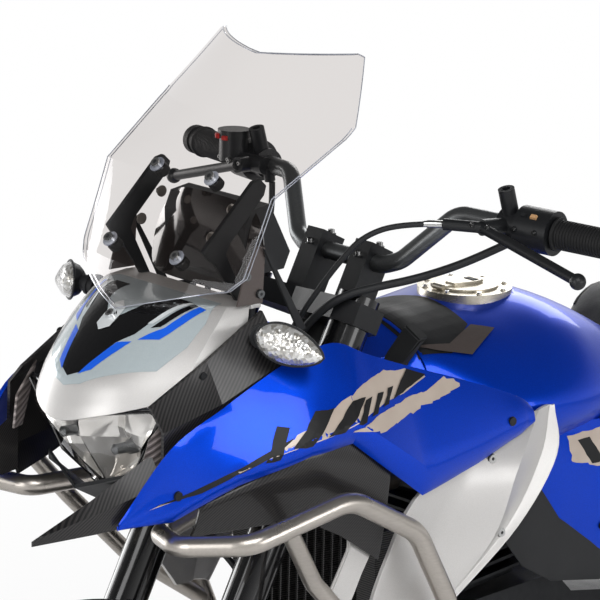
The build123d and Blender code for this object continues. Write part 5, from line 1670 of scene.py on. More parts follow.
def skin(name: str, rows: Grid, wall: float, finish: Finish, mirrored: bool, lift: float = 0.0,
         keep: Callable[[Vector], bool] | None = None) -> Piece:
    """A smooth panel from a grid, with a wall and eased edges.

    Args:
        name: the piece's name.
        rows: the grid in millimetres; its outer face.
        wall: thickness in millimetres.
        finish: its finish.
        mirrored: whether the other side has it too.
        lift: how far it is set out from the grid, in millimetres.
        keep: a test of a face's middle in millimetres, for faces that stay.

    Returns:
        The panel.
    """
    wide = len(rows[0])
    mesh = bpy.data.meshes.new(name)
    with editing(mesh) as work:
        points = [work.verts.new(p * MM) for row in rows for p in row]
        for r in range(len(rows) - 1):
            for c in range(wide - 1):
                corners = [points[r * wide + c], points[r * wide + c + 1], points[(r + 1) * wide + c + 1],
                           points[(r + 1) * wide + c]]
                middle = sum((v.co for v in corners), Vector()) / 4 / MM
                if keep is None or keep(middle):
                    work.faces.new(corners)
        bmesh.ops.delete(work, geom=[v for v in work.verts if not v.link_faces], context="VERTS")
        bmesh.ops.remove_doubles(work, verts=work.verts, dist=MERGE)
        bmesh.ops.recalc_face_normals(work, faces=work.faces)
        middle = sum((v.co for v in work.verts), Vector()) / len(work.verts)
        core = Vector((middle.x, 0.0, middle.z - 0.05))
        inwards = sum(1 if f.normal.dot(f.calc_center_median() - core) < 0 else -1 for f in work.faces)
        if inwards > 0:
            bmesh.ops.reverse_faces(work, faces=work.faces)
        work.normal_update()
        if lift:
            for vert, normal in [(v, v.normal.copy()) for v in work.verts]:
                vert.co += normal * lift * MM
    mesh.materials.append(finish.material())
    piece = linked(name, mesh)
    if mirrored:
        other = piece.modifiers.new("mirror", "MIRROR")
        other.use_axis = (False, True, False)
        other.use_mirror_merge = False
    thick = piece.modifiers.new("wall", "SOLIDIFY")
    thick.thickness = wall * MM
    thick.offset = -1.0
    ease = piece.modifiers.new("ease", "BEVEL")
    ease.width = EASED * MM
    ease.segments = 2
    ease.limit_method = "ANGLE"
    ease.angle_limit = math.radians(FORM_ANGLE)
    return shade(baked(piece), SKIN_ANGLE)


class Bodywork:
    """Smooth skins of the tank, shrouds, radiator panels, liners, side covers and cowl."""

    TANK = [
        (378, 892, 36, 886, 58, 866, 54, 822), (320, 930, 84, 900, 112, 856, 106, 804),
        (270, 936, 104, 906, 176, 852, 168, 792), (200, 940, 118, 915, 196, 845, 175, 775),
        (120, 944, 118, 920, 190, 835, 150, 765), (40, 918, 95, 900, 160, 830, 130, 760),
        (-60, 862, 70, 856, 112, 815, 100, 765),
    ]
    SHROUD = [
        [(826, 142, 780), (826, 143, 777), (826, 140, 772)], [(770, 165, 864), (770, 178, 798), (770, 172, 780)],
        [(700, 174, 905), (700, 211, 838), (700, 204, 819)], [(620, 187, 949), (620, 245, 872), (620, 240, 850)],
        [(560, 200, 968), (560, 252, 884), (560, 242, 856)], [(510, 205, 949), (510, 258, 851), (510, 248, 818)],
        [(455, 208, 929), (455, 258, 814), (455, 250, 778)], [(356, 216, 896), (356, 247, 826), (356, 240, 800)],
        [(276, 220, 866), (276, 235, 839), (276, 230, 822)], [(257, 223, 852), (257, 231, 840), (257, 229, 832)],
    ]
    PANEL = [
        [(282, 212, 842), (262, 216, 842), (236, 216, 842), (206, 204, 842), (200, 206, 842)],
        [(446, 240, 780), (380, 236, 780), (298, 246, 780), (222, 208, 780), (200, 214, 780)],
        [(488, 228, 700), (420, 225, 700), (330, 241, 700), (276, 209, 700), (262, 215, 700)],
        [(500, 210, 620), (456, 210, 620), (400, 223, 620), (368, 203, 620), (360, 207, 620)],
        [(470, 194, 560), (456, 195, 560), (440, 197, 560), (424, 190, 560), (420, 192, 560)],
    ]
    LINER = [
        [(740, 180, 796), (740, 182, 786), (740, 168, 755)], [(680, 207, 824), (680, 209, 812), (680, 194, 762)],
        [(620, 234.6, 853), (620, 236, 838), (620, 220, 770)], [(560, 236.6, 859), (560, 240, 819), (560, 224, 740)],
        [(500, 241, 814), (500, 242, 800), (500, 226, 700)],
    ]
    COVER = [
        [(204, 176, 800), (204, 178, 778), (204, 172, 742)], [(150, 176, 806), (150, 180, 740), (150, 168, 672)],
        [(60, 176, 800), (60, 184, 710), (60, 166, 618)], [(-120, 164, 800), (-120, 178, 730), (-120, 160, 622)],
        [(-300, 158, 806), (-300, 164, 784), (-300, 160, 740)],
    ]
    COWL = [
        [(812, 0, 872), (793, 60, 885), (738, 119, 905), (669, 125, 912)],
        [(804, 0, 896), (786, 62, 902), (728, 123, 914), (664, 127, 918)],
        [(790, 0, 926), (772, 63, 927), (714, 125, 931), (655, 128, 932)],
        [(762, 0, 956), (745, 62, 956), (695, 123, 957), (643, 127, 957)],
        [(728, 0, 985), (714, 59, 985), (668, 119, 986), (625, 124, 986)],
        [(703, 0, 1002), (690, 54, 1003), (648, 112, 1003), (618, 119, 1003)],
        [(650, 0, 1005), (648, 50, 1005), (636, 104, 1005), (610, 118, 1005)],
        [(604, 0, 1005), (604, 48, 1005), (603, 100, 1005), (600, 118, 1005)],
    ]
    INSERT = [
        [(270, 174, 758), (270, 175, 730), (270, 168, 700)], [(204, 172, 758), (204, 174, 700), (204, 165, 625)],
        [(150, 168, 716), (150, 170, 660), (150, 162, 596)], [(60, 164, 640), (60, 166, 620), (60, 161, 582)],
        [(-20, 161, 636), (-20, 163, 618), (-20, 159, 590)],
    ]
    # Each boss's root and the y of its outer end, then its radius.
    BOSSES = [((268, 179.4, 850), 224, 8), ((409, 135.3, 610), 212, 7), ((236, 187.6, 832), 208, 8),
              ((-200, 123.3, 765), 160, 8), ((60, 136.3, 704), 178, 8)]
    CAP = Vector((165.0, 0.0))
    # The tank's skin ends at this x, clear of the turning yokes.
    TANK_FRONT = 322
    # Radii round the filler: within the first the skin is open, within the second flat, out to the third it blends.
    OPEN, FLAT, BLENDED = 50, 62, 92
    # Height of the flat deck, the blend's rise, and the height under which the deck is left alone.
    DECK, DECK_RISE, DECK_FOOT = 942.6, 4, 900

    def tank(self) -> None:
        """The tank's crowned skin, open under the filler."""
        stations = [across_from([(x, 0, top), (x, sy, sz), (x, by, bz), (x, ly, lz)])
                    for x, top, sy, sz, by, bz, ly, lz in self.TANK]
        rows = bent_grid(stations, 7, 6, 0.0, True)
        for row in rows:
            for point in row:
                near = (Vector((point.x, point.y)) - self.CAP).length
                if near < self.BLENDED and point.z > self.DECK_FOOT:
                    ease = min(1.0, max(0.0, (near - self.FLAT) / (self.BLENDED - self.FLAT)))
                    point.z = min(point.z, self.DECK + ease * self.DECK_RISE)

        def stays(middle: Vector) -> bool:
            """Whether a face lies outside the filler and clear of the turning yokes."""
            away = (Vector((middle.x, middle.y)) - self.CAP).length
            return middle.x < self.TANK_FRONT and (away > self.OPEN or middle.z < self.DECK_FOOT)

        piece = skin("tank_skin", rows, 1.2, Palette.BLUE, False, 0.9, stays)
        place(piece, Body.CHASSIS, "tank_blue")
        Surface.kept["fuel_tank"] = Surface(piece.data, FRAME["nodes"]["fuel_tank"].data)

    def panels(self) -> None:
        """The side panels, each with a crisp fold between soft faces."""
        for node, stations, crown, finish, slot, straight in (
                ("shrouds", self.SHROUD, 2.2, Palette.BLUE, "blue_gloss", True),
                ("shroud_liners", self.LINER, 1.5, Palette.CARBON, "carbon_black", True),
                ("side_covers", self.COVER, 2.5, Palette.BLUE, "blue_gloss", True),
                ("radiator_panels", self.PANEL, -0.6, Palette.SILVER, "silver_satin", False)):
            piece = skin(f"{node}_skin", bent_grid(stations, 6, 6, crown, False, straight), 5.0, finish, True)
            place(piece, Body.CHASSIS, slot, node)
            Surface.kept[node] = Surface(piece.data)

    def cowl(self) -> None:
        """The cowl's rounded shield with a crisp return at each side."""
        rows = bent_grid([across_from(half[:3]) for half in self.COWL], 6, 6, 0.0, True)
        for row, back in zip(rows, curve_through([half[3] for half in self.COWL], 6)):
            row.insert(0, Vector(flip(back)))
            row.append(back)
        piece = skin("cowl_skin", rows, 5.0, Palette.SILVER, False)
        place(piece, Body.CHASSIS, "silver_satin", "nose_cowl")
        Surface.kept["nose_cowl"] = Surface(piece.data)

    def build(self) -> None:
        """Make every skin and the bosses that carry them."""
        self.tank()
        self.panels()
        self.cowl()
        bosses = []
        for start, out, radius in self.BOSSES:
            for side in SIDES:
                a, b = metres(sided([start, (start[0], out, start[2])], side))
                bosses.append(turned("boss", a, b, [(0.0, radius), ((b - a).length, radius)],
                                     Palette.BLACK_PLASTIC, 20))
        place(joined("panel_bosses", bosses), Body.CHASSIS, "black_plastic")
        rows = bent_grid(self.INSERT, 5, 5, 1.5, False, True)
        place(skin("cover_inserts", rows, 4.0, Palette.BLACK_PLASTIC, True), Body.CHASSIS, "black_plastic")


class Nose:
    """Cowl films, bezel, headlight, its surround and indicators."""

    INNER = [(797, 0, 909), (790, 24, 912), (768, 62, 931), (744, 96, 946), (712, 108, 975), (680, 108, 994),
             (640, 96, 1004.5), (640, 0, 1004.5)]
    BLACK = [(791, 0, 919), (784, 18, 925), (746, 36, 958), (731, 50, 970), (690, 66, 1002), (664, 72, 1004.5),
             (664, 46, 1004.5), (710, 26, 993), (724, 12, 985), (726, 0, 985)]
    LOWER_BLUE = [(787, 15, 923), (779, 30, 930), (739, 53, 964), (746, 37, 959)]
    UPPER_BLUE = [(734, 58, 966), (722, 79, 972), (712, 84, 981), (668, 97, 1004.5), (668, 88, 1004.5), (712, 75, 984),
                  (724, 65, 975)]
    UPPER_BLACK = [(718, 62, 979), (713, 71, 984), (668, 86, 1004.5), (668, 79, 1004.5)]
    PALE = [(716, 55, 981), (714, 61, 984), (668, 78, 1004.5), (668, 72, 1004.5)]
    LAMP = [(0, 872), (112, 896), (124, 888), (69, 811), (0, 782), (-69, 811), (-124, 888), (-112, 896)]
    BEZEL = [(746, 0, 968), (738, 12, 972), (716, 13, 992), (708, 0, 998), (716, -13, 992), (738, -12, 972)]
    CHEEK = [(736, 134, 905), (760, 130, 829), (779, 121, 829), (771, 126, 868)]
    CHIN = [(780, 0, 788), (762, 74, 814), (756, 82, 802), (738, 0, 766)]
    DOWN = (-0.66, 0.0, -0.75)
    MIDDLE_Z = 834
    # The lamp's face leans forwards from its foot's x and z, by a run for each rise, up to its foremost x.
    FOOT_X, FOOT_Z, RUN, RISE, FRONT_X = 742.0, 780.0, 58.0, 88.0, 789.0
    # How far the face sweeps back at its half width.
    SWEEP, HALF_WIDTH = 32.0, 125.0
    # The lamp's shell narrows to this share at its back.
    SHELL_SHARE = 0.86

    def films(self) -> None:
        """The gloss field and the stripes of the cowl."""
        halves: list[tuple[list[Point], Finish]] = [
            (self.INNER, Palette.SILVER_GLOSS), (self.BLACK, Palette.BLACK_GLOSS),
            (self.LOWER_BLUE, Palette.BLUE_LIGHT), (self.UPPER_BLUE, Palette.BLUE_LIGHT),
            (self.UPPER_BLACK, Palette.BLACK_GLOSS), (self.PALE, Palette.PALE)]
        Film("cowl_films", "nose_cowl", self.DOWN, halves, 0.35, True, 8.0).build(Body.CHASSIS, "silver_satin")
        Film("cowl_bezel", "nose_cowl", self.DOWN, [(self.BEZEL, Palette.PALE)], 1.6, False, 6.0).build(
            Body.CHASSIS, "silver_satin")
        Screws("cowl_screw", "nose_cowl", [((727, 0, 983), self.DOWN)], 8.0, 5.0, Head.SOCKET, Palette.CHROME,
               Palette.BLACK_GLOSS, mirrored=False).build(Body.CHASSIS, "lamp_chrome")

    def front(self, z: float, y: float = 0.0) -> float:
        """The lamp face's x at a height and a distance from the middle, in millimetres.

        Args:
            z: the height.
            y: the distance from the middle.

        Returns:
            The x there.
        """
        straight = min(self.FRONT_X, self.FOOT_X + (z - self.FOOT_Z) * self.RUN / self.RISE)
        return straight - self.SWEEP * (abs(y) / self.HALF_WIDTH) ** 1.4

    def inside(self, share: float, turn: float) -> tuple[float, float]:
        """A (y, z) place in the lamp's outline, from its middle outwards.

        Args:
            share: how far out it lies, 0 to 1.
            turn: its direction in radians.

        Returns:
            The place's y and z.
        """
        middle = Vector((0, self.MIDDLE_Z))
        ring = [Vector(p) for p in self.LAMP]
        way = Vector((math.cos(turn), math.sin(turn)))
        best = 1e9
        for a, b in zip(ring, ring[1:] + ring[:1]):
            edge = b - a
            cross = way.x * edge.y - way.y * edge.x
            if abs(cross) < 1e-9:
                continue
            gap = a - middle
            along = (gap.x * edge.y - gap.y * edge.x) / cross
            part = (gap.x * way.y - gap.y * way.x) / cross
            if along > 0 and -1e-6 <= part <= 1 + 1e-6:
                best = min(best, along)
        spot = middle + way * best * share
        return spot.x, spot.y

    def reflector(self) -> Piece:
        """The two faceted halves of the reflector.

        Returns:
            The reflector.
        """
        dice = random.Random(7)
        verts: list[Vector] = []
        faces: list[tuple[int, ...]] = []
        columns, rows = 14, 7
        for side in SIDES:
            grid = []
            for row in range(rows + 1):
                line = []
                for column in range(columns + 1):
                    u, v = column / columns, row / rows
                    z = 788 + 102 * v
                    reach = (z - 782) * 2.38 if z < 811 else 69 + (z - 811) * 0.7
                    y = 1 + (reach - 4) * u
                    bowl = 30 * math.sin(math.pi * u) * math.sin(math.pi * (0.12 + 0.8 * v))
                    wave = 8.0 * math.sin(7.5 * u + 3.4 * v) + 6.0 * math.sin(3.0 * u - 9.0 * v)
                    x = self.front(z, y) - 12 - bowl + wave * (1 - abs(2 * u - 1) ** 3) + dice.uniform(-0.8, 0.8)
                    line.append(len(verts))
                    verts.append(Vector((min(x, self.front(z, y) - 5), side * y, z)) * MM)
                grid.append(line)
            for r in range(rows):
                for c in range(columns):
                    quad = (grid[r][c], grid[r][c + 1], grid[r + 1][c + 1], grid[r + 1][c])
                    faces.append(quad if side > 0 else quad[::-1])
        return new_piece("reflector", verts, faces, Palette.REFLECTOR, 16.0)

    def lens(self) -> Piece:
        """The clear lens over the lamp's outline.

        Returns:
            The lens.
        """
        verts, faces = [Vector((self.front(self.MIDDLE_Z) - 0.5, 0, self.MIDDLE_Z)) * MM], []
        bands, sectors = 6, 48
        for band in range(1, bands + 1):
            for sector in range(sectors):
                y, z = self.inside(band / bands, 2 * math.pi * sector / sectors)
                verts.append(Vector((self.front(z, y) - 1.2 - 2.5 * (band / bands) ** 4, y, z)) * MM)
        for sector in range(sectors):
            nxt = (sector + 1) % sectors
            faces.append((0, 1 + sector, 1 + nxt))
            for band in range(bands - 1):
                low, high = 1 + band * sectors, 1 + (band + 1) * sectors
                faces.append((low + sector, high + sector, high + nxt, low + nxt))
        return new_piece("headlight_lens", verts, faces, Palette.LENS, 30.0)

    def headlight(self) -> None:
        """A faceted twin reflector under a clear lens, in a black shell."""
        reflector = self.reflector()
        ring = [(self.front(z, y) - 3.0, y, z) for y, z in self.LAMP]
        back = [(690, y * self.SHELL_SHARE, self.MIDDLE_Z + (z - self.MIDDLE_Z) * self.SHELL_SHARE)
                for y, z in self.LAMP]
        count = len(ring)
        walls = strips(2, count) + [tuple(range(count, 2 * count))]
        shell = new_piece("cup", metres(ring + back), walls, Palette.BLACK_PLASTIC)
        bulbs = []
        for side in SIDES:
            at = Vector((self.front(836) - 22, side * 50, 838)) * MM
            bulbs.append(turned("bulb", at - Vector((0.03, 0, 0)), at,
                                [(0.0, 9.0), (0.012, 9.0), (0.016, 6.5), (0.034, 6.5), (0.038, 2.0)],
                                Palette.TITANIUM, 20))
        rim = tube("rim", metres(ring + ring[:1]), 2.2, Palette.BLACK_GLOSS, 8)
        place(joined("headlight_reflector", [reflector, shell, *bulbs, rim]), Body.CHASSIS, "lamp_chrome",
              "headlight")
        place(self.lens(), Body.CHASSIS, "lamp_chrome")

    def trims(self) -> None:
        """The ribbed cheeks beside the lamp and the chin."""
        parts = [slab("cheek", sided(self.CHEEK, s), 3.0, (0.5, s * 0.8, 0), Palette.CHEEK, 0.4) for s in SIDES]
        parts += [slab("chin", sided(self.CHIN, s), 5.0, (0.3, 0, -0.9), Palette.BLACK_METAL) for s in SIDES]
        place(joined("lamp_surround", parts), Body.CHASSIS, "carbon_black")
        Screws("chin_screw", "headlight", [((760, 0, 782), (-0.6, 0, 0.6))], 5.0, 3.0, Head.BUTTON,
               mirrored=False).build(Body.CHASSIS, "black_plastic")

    def indicator(self, side: int) -> list[Piece]:
        """One leaf-shaped indicator: black back, jewelled lens, rim and stalk sleeve.

        Args:
            side: 1 for left, -1 for right.

        Returns:
            Its parts.
        """
        root, tip, sleeve_start, sleeve_end = (Vector(p) for p in sided(
            [(652, 172, 986), (612, 246, 966), (630, 154.6, 977), (640, 190, 981)], side))
        run = (tip - root).normalized()
        ahead = Vector((0.86, side * 0.45, 0.05)).normalized()
        ahead = (ahead - run * ahead.dot(run)).normalized()
        over = run.cross(ahead) * -side
        length = (tip - root).length

        def leaf(share: float, wide: float) -> float:
            """Half the leaf's width at a share of its length."""
            return wide * (math.sin(math.pi * share ** 0.8)) ** 0.62 if 0 < share < 1 else 0.4

        stations, wide = 14, 10
        parts = []
        for name, depth, finish in (("back", -17.0, Palette.BLACK_PLASTIC), ("lens", 13.0, Palette.JEWEL)):
            verts = []
            for number in range(stations + 1):
                t = number / stations
                for step in range(wide + 1):
                    s = 2 * step / wide - 1
                    bulge = depth * math.sqrt(max(0.0, 1 - s * s)) * min(1.0, 2.4 * math.sin(math.pi * t) + 0.02)
                    verts.append((root + run * length * t + over * leaf(t, 23.0) * s + ahead * bulge) * MM)
            faces = [(a, a + 1, a + wide + 2, a + wide + 1)
                     for a in (number * (wide + 1) + step for number in range(stations) for step in range(wide))]
            parts.append(new_piece(name, verts, faces, finish, FORM_ANGLE))
        rim = [root + run * length * number / 28 + over * turn * leaf(number / 28, 23.4)
               for turn, numbers in ((1, range(0, 29)), (-1, range(27, -1, -1))) for number in numbers]
        parts.append(tube("rim", [p * MM for p in rim], 1.7, Palette.BLACK_PLASTIC, 8))
        rings = [(0.0, 15.0), (0.004, 15.0), (0.005, 11.5), (0.009, 11.5), (0.010, 13.0), (0.014, 13.0), (0.015, 10.5),
                 (0.03, 9.5), (0.034, 8.0)]
        parts.append(turned("sleeve", sleeve_start * MM, sleeve_end * MM, rings, Palette.BLACK_PLASTIC))
        return parts

    def build(self) -> None:
        """Dress the nose."""
        self.films()
        self.headlight()
        self.trims()
        both = self.indicator(1) + self.indicator(-1)
        place(joined("indicator_lamps", both), Body.CHASSIS, "lamp_chrome", "indicators")
        Screws("side_rivets", "nose_sides", [((700, 170, 935), (0, -1, 0)), ((642, 180, 985), (0, -1, 0))], 5.0, 2.0,
               Head.BUTTON, Palette.BLACK_METAL, Palette.BLACK_METAL).build(Body.CHASSIS, "carbon_black")


class Panels:
    """Films, stays and screws of the shrouds, side covers and radiator panels."""

    LONG = [(797, 160, 796), (758, 179, 812), (731, 191, 824), (688, 210, 846), (651, 224, 868), (632, 230, 881),
            (589, 233, 902), (540, 229, 920), (488, 215, 930), (440, 212, 922), (421, 213, 912), (463, 222, 900),
            (504, 233, 896), (536, 243, 889), (569, 250, 879), (599, 245, 872), (633, 233, 864), (674, 214, 850),
            (708, 198, 834), (741, 184, 820), (785, 165, 803)]
    SHORT = [(570, 249, 872), (520, 246, 866), (480, 236, 874), (426, 227, 882), (373, 218, 893), (366, 216, 897),
             (392, 214, 908), (424, 219, 898), (466, 226, 893), (522, 240, 886)]
    MARKS = [
        [(792, 163, 800), (752, 181, 817), (700, 205, 842), (664, 219, 862), (640, 228, 874), (662, 219, 856),
         (700, 202, 836), (744, 184, 814)],
        [(676, 214, 846), (654, 225, 886), (642, 229, 884), (660, 220, 848)],
        [(646, 228, 862), (610, 236, 900), (586, 236, 902), (624, 236, 862)],
        [(604, 244, 872), (560, 238, 908), (536, 234, 908), (580, 247, 874)],
        [(562, 249, 880), (538, 234, 906), (526, 232, 906), (548, 247, 880)],
        [(536, 244, 886), (514, 233, 908), (502, 231, 908), (524, 241, 888)],
        [(512, 236, 892), (494, 227, 910), (482, 225, 911), (500, 233, 894)],
        [(490, 230, 897), (452, 219, 925), (424, 214, 914), (470, 224, 900)],
    ]
    COVER = [(150, 178, 788), (96, 180, 792), (20, 180, 784), (-64, 178, 764), (-52, 176, 746), (20, 178, 738),
             (100, 178, 742), (146, 177, 756)]
    COVER_MARKS = [[(132 - 44 * bar, 178, 780 - 3 * bar), (112 - 44 * bar, 178, 782 - 3 * bar),
                    (88 - 44 * bar, 178, 748 - bar), (108 - 44 * bar, 178, 746 - bar)] for bar in range(4)]
    BLADE = [(536, 214, 758), (492, 214, 747), (500, 217, 712), (520, 220, 684), (541, 224, 650), (580, 224, 660),
             (562, 221, 686), (540, 217, 718)]
    ROD = [(514, 211, 750), (515, 222, 752), (516, 231, 753)]
    SIDEWAYS = (0.0, -1.0, 0.0)

    def film(self, name: str, node: str, tears: Sequence[tuple[list[Point], float, int, float, Finish]]) -> None:
        """Lay torn films on a panel.

        Args:
            name: the piece's name.
            node: the panel.
            tears: each film's outline, ragged edge, seed, distance between tears and finish.
        """
        shapes = [(ragged(outline, size, seed, step), finish) for outline, size, seed, step, finish in tears]
        Film(name, node, self.SIDEWAYS, shapes, 0.3).build(Body.CHASSIS, "blue_gloss")

    def build(self) -> None:
        """Lay the films and set the screws."""
        self.film("shroud_films", "shrouds", [
            (self.LONG, 5.0, 3, 7.0, Palette.BEIGE), (self.SHORT, 6.0, 5, 7.0, Palette.BEIGE),
            *((mark, 2.0, 11 + number, 9.0, Palette.BLACK_FILM) for number, mark in enumerate(self.MARKS))])
        self.film("cover_films", "side_covers", [
            (self.COVER, 5.0, 21, 7.0, Palette.BEIGE),
            *((mark, 1.5, 31 + number, 9.0, Palette.BLACK_FILM) for number, mark in enumerate(self.COVER_MARKS))])
        stays = []
        for side in SIDES:
            stays.append(slab("blade", sided(self.BLADE, side), 6.0, (0, -side, 0), Palette.SILVER, 2.0))
            stays.append(tube("rod", metres(sided(self.ROD, side)), 7.0, Palette.BLACK_METAL, 16))
        place(joined("crash_stays", stays), Body.CHASSIS, "slider_steel")
        for name, node, spots, height, finish, slot in (
                ("panel_screws", "radiator_panels", [(330, 240, 800), (300, 236, 700)], 2.5, Palette.STEEL_BRIGHT,
                 "silver_satin"),
                ("shroud_screws", "shrouds", [(300, 240, 842), (768, 170, 812)], 2.0, Palette.BLACK_METAL,
                 "blue_gloss"),
                ("cover_screws", "side_covers", [(78, 170, 660), (-120, 170, 690)], 2.5, Palette.BLACK_METAL,
                 "blue_gloss")):
            Screws(name, node, [(spot, self.SIDEWAYS) for spot in spots], 6.0, height, Head.BUTTON, finish,
                   Palette.BLACK_METAL).build(Body.CHASSIS, slot)


class Tank:
    """The filler ring's screws, the cap's flap, and the trims round the tank's nose."""

    CAP_X = 165.0
    CAP_Z = 948.0
    FLAP = [(26, 9, 3), (-8, 15, 3), (-24, 10, 3), (-24, -10, 3), (-8, -15, 3), (26, -9, 3)]
    KEY = [(-6, 9, 7.2), (-16, 9, 7.2), (-16, -9, 7.2), (-6, -9, 7.2)]
    COLLAR = [(321, 0, 930), (321, 90, 922), (286, 112, 928), (236, 84, 940), (228, 0, 944)]
    WEDGE = [(322, 90, 924), (300, 108, 912), (268, 134, 908), (214, 112, 926), (236, 96, 936), (282, 114, 930)]
    BLOCK = [(372, 62, 862), (372, 96, 862), (364, 100, 892), (328, 98, 918), (322, 62, 930), (352, 60, 896)]

    def on_cap(self, points: Sequence[Point]) -> list[Point]:
        """Points given from the cap's middle as places on the machine."""
        return [(self.CAP_X + x, y, self.CAP_Z + z) for x, y, z in points]

    def build(self) -> None:
        """Dress the tank."""
        turns = [math.radians(22.5 + 45 * step) for step in range(8)]
        spots = [(spot, (0, 0, -1)) for spot in self.on_cap([(53 * math.cos(t), 53 * math.sin(t), 0) for t in turns])]
        Screws("filler_screws", "filler_ring", spots, 4.2, 2.4, Head.SOCKET, Palette.CHROME, Palette.CAP,
               mirrored=False).build(Body.CHASSIS, "cap_silver")
        lid = slab("flap", self.on_cap(self.FLAP), 4.0, (0, 0, 1), Palette.CAP, 1.2)
        slot = slab("key", self.on_cap(self.KEY), 0.6, (0, 0, 1), Palette.BLACK_PLASTIC, 0.2)
        place(joined("cap_flap", [lid, slot]), Body.FUEL_CAP, "cap_silver")
        Film("tank_collar", "fuel_tank", (0.0, 0.0, -1.0), [(self.COLLAR, Palette.BLACK_PLASTIC)], 1.0, True,
             10.0).build(Body.CHASSIS, "tank_blue")
        Film("tank_wedges", "fuel_tank", (0.0, -0.5, -0.86), [(self.WEDGE, Palette.BROWN_GREY)], 3.6, True,
             10.0).build(Body.CHASSIS, "tank_blue")
        pads = [slab("block", sided(self.BLOCK, side), 16.0, (-1, 0, 0.2), Palette.BLACK_PLASTIC, 2.0)
                for side in SIDES]
        place(joined("tank_nose_blocks", pads), Body.CHASSIS, "black_plastic")
        Screws("block_screws", "fuel_tank", [((370, 80, 878), (-1, 0, 0.1))], 7.0, 4.0, Head.HEX,
               Palette.STEEL_BRIGHT, Palette.BLACK_METAL, drop=False).build(Body.CHASSIS, "black_plastic")


class Controls:
    """Grip ribs, switches and screws of the handlebar."""

    LEFT_END = (262.0, 405.0, 1077.0)
    INNER = (324.0, 156.0, 1086.0)
    RIB = [(0.0, 17.2), (0.0006, 18.3), (0.0018, 18.3), (0.0024, 17.2)]
    FLANGE = [(0.0, 17.0), (0.0015, 20.5), (0.004, 20.5), (0.006, 17.0)]
    # Each switch's side, distance along the bar, size, finish, where its fall starts and the fall's direction.
    SWITCHES = [
        (1, 134.0, (9, 6, 4), Palette.BEIGE_BUTTON, (0.03, 0, 0.03), (-0.7, 0, -0.7)),
        (1, 148.0, (7, 5, 4), Palette.BLACK_PLASTIC, (0.03, 0, 0.03), (-0.7, 0, -0.7)),
        (-1, 134.0, (10, 7, 5), Palette.RED_SWITCH, (0.03, 0, 0.02), (-0.8, 0, -0.5)),
        (-1, 150.0, (8, 6, 4), Palette.RED_SWITCH, (0.03, 0, 0.02), (-0.8, 0, -0.5)),
    ]

    def at(self, distance: float, side: int) -> tuple[Vector, Vector]:
        """A point on the bar's straight outer run and the run's direction.

        Args:
            distance: distance from the bar's end in millimetres.
            side: 1 for left, -1 for right.

        Returns:
            The place in metres and the unit direction.
        """
        end, inside = (Vector(p) for p in sided([self.LEFT_END, self.INNER], side))
        run = (inside - end).normalized()
        return (end + run * distance) * MM, run

    def build(self) -> None:
        """Dress the handlebar."""
        rubber = []
        for side in SIDES:
            for name, distances, profile, steps in (("rib", [6 + number * 4.1 for number in range(26)], self.RIB, 24),
                                                    ("flange", [-1.0, 112.0], self.FLANGE, 32)):
                for distance in distances:
                    spot, run = self.at(distance, side)
                    rubber.append(turned(name, spot, spot + run, profile, Palette.GRIP, steps))
        place(joined("grip_ribs", rubber), Body.STEERING, "grip_rubber")
        spots = []
        for side in SIDES:
            for distance in (126.0, 154.0, 170.0, 188.0):
                x, y, z = self.at(distance, side)[0] / MM
                spots.append(((x + 40, y, z + 4), (-1, 0, -0.08)))
        Screws("control_screws", "hand_controls", spots, 3.6, 2.4, Head.SOCKET, Palette.STEEL_BRIGHT,
               Palette.BLACK_METAL, mirrored=False).build(Body.STEERING, "control_black")
        switches = []
        for side, distance, size, finish, ahead, way in self.SWITCHES:
            spot, run = self.at(distance, side)
            hit, normal = Surface.of("hand_controls").drop(spot + Vector(ahead), Vector(way))
            switches.append(blocks("switch", [(hit + normal * 0.001, normal, run)], size, 0.8, finish))
        place(joined("bar_switches", switches), Body.STEERING, "control_black")
        Screws("clamp_screws", "yokes", [((368 + dx, 45, 1034), (0, 0, -1)) for dx in (-17, 17)], 6.0, 5.0,
               Head.SOCKET, Palette.STEEL_BRIGHT, Palette.BLACK_METAL).build(Body.STEERING, "cast_black")


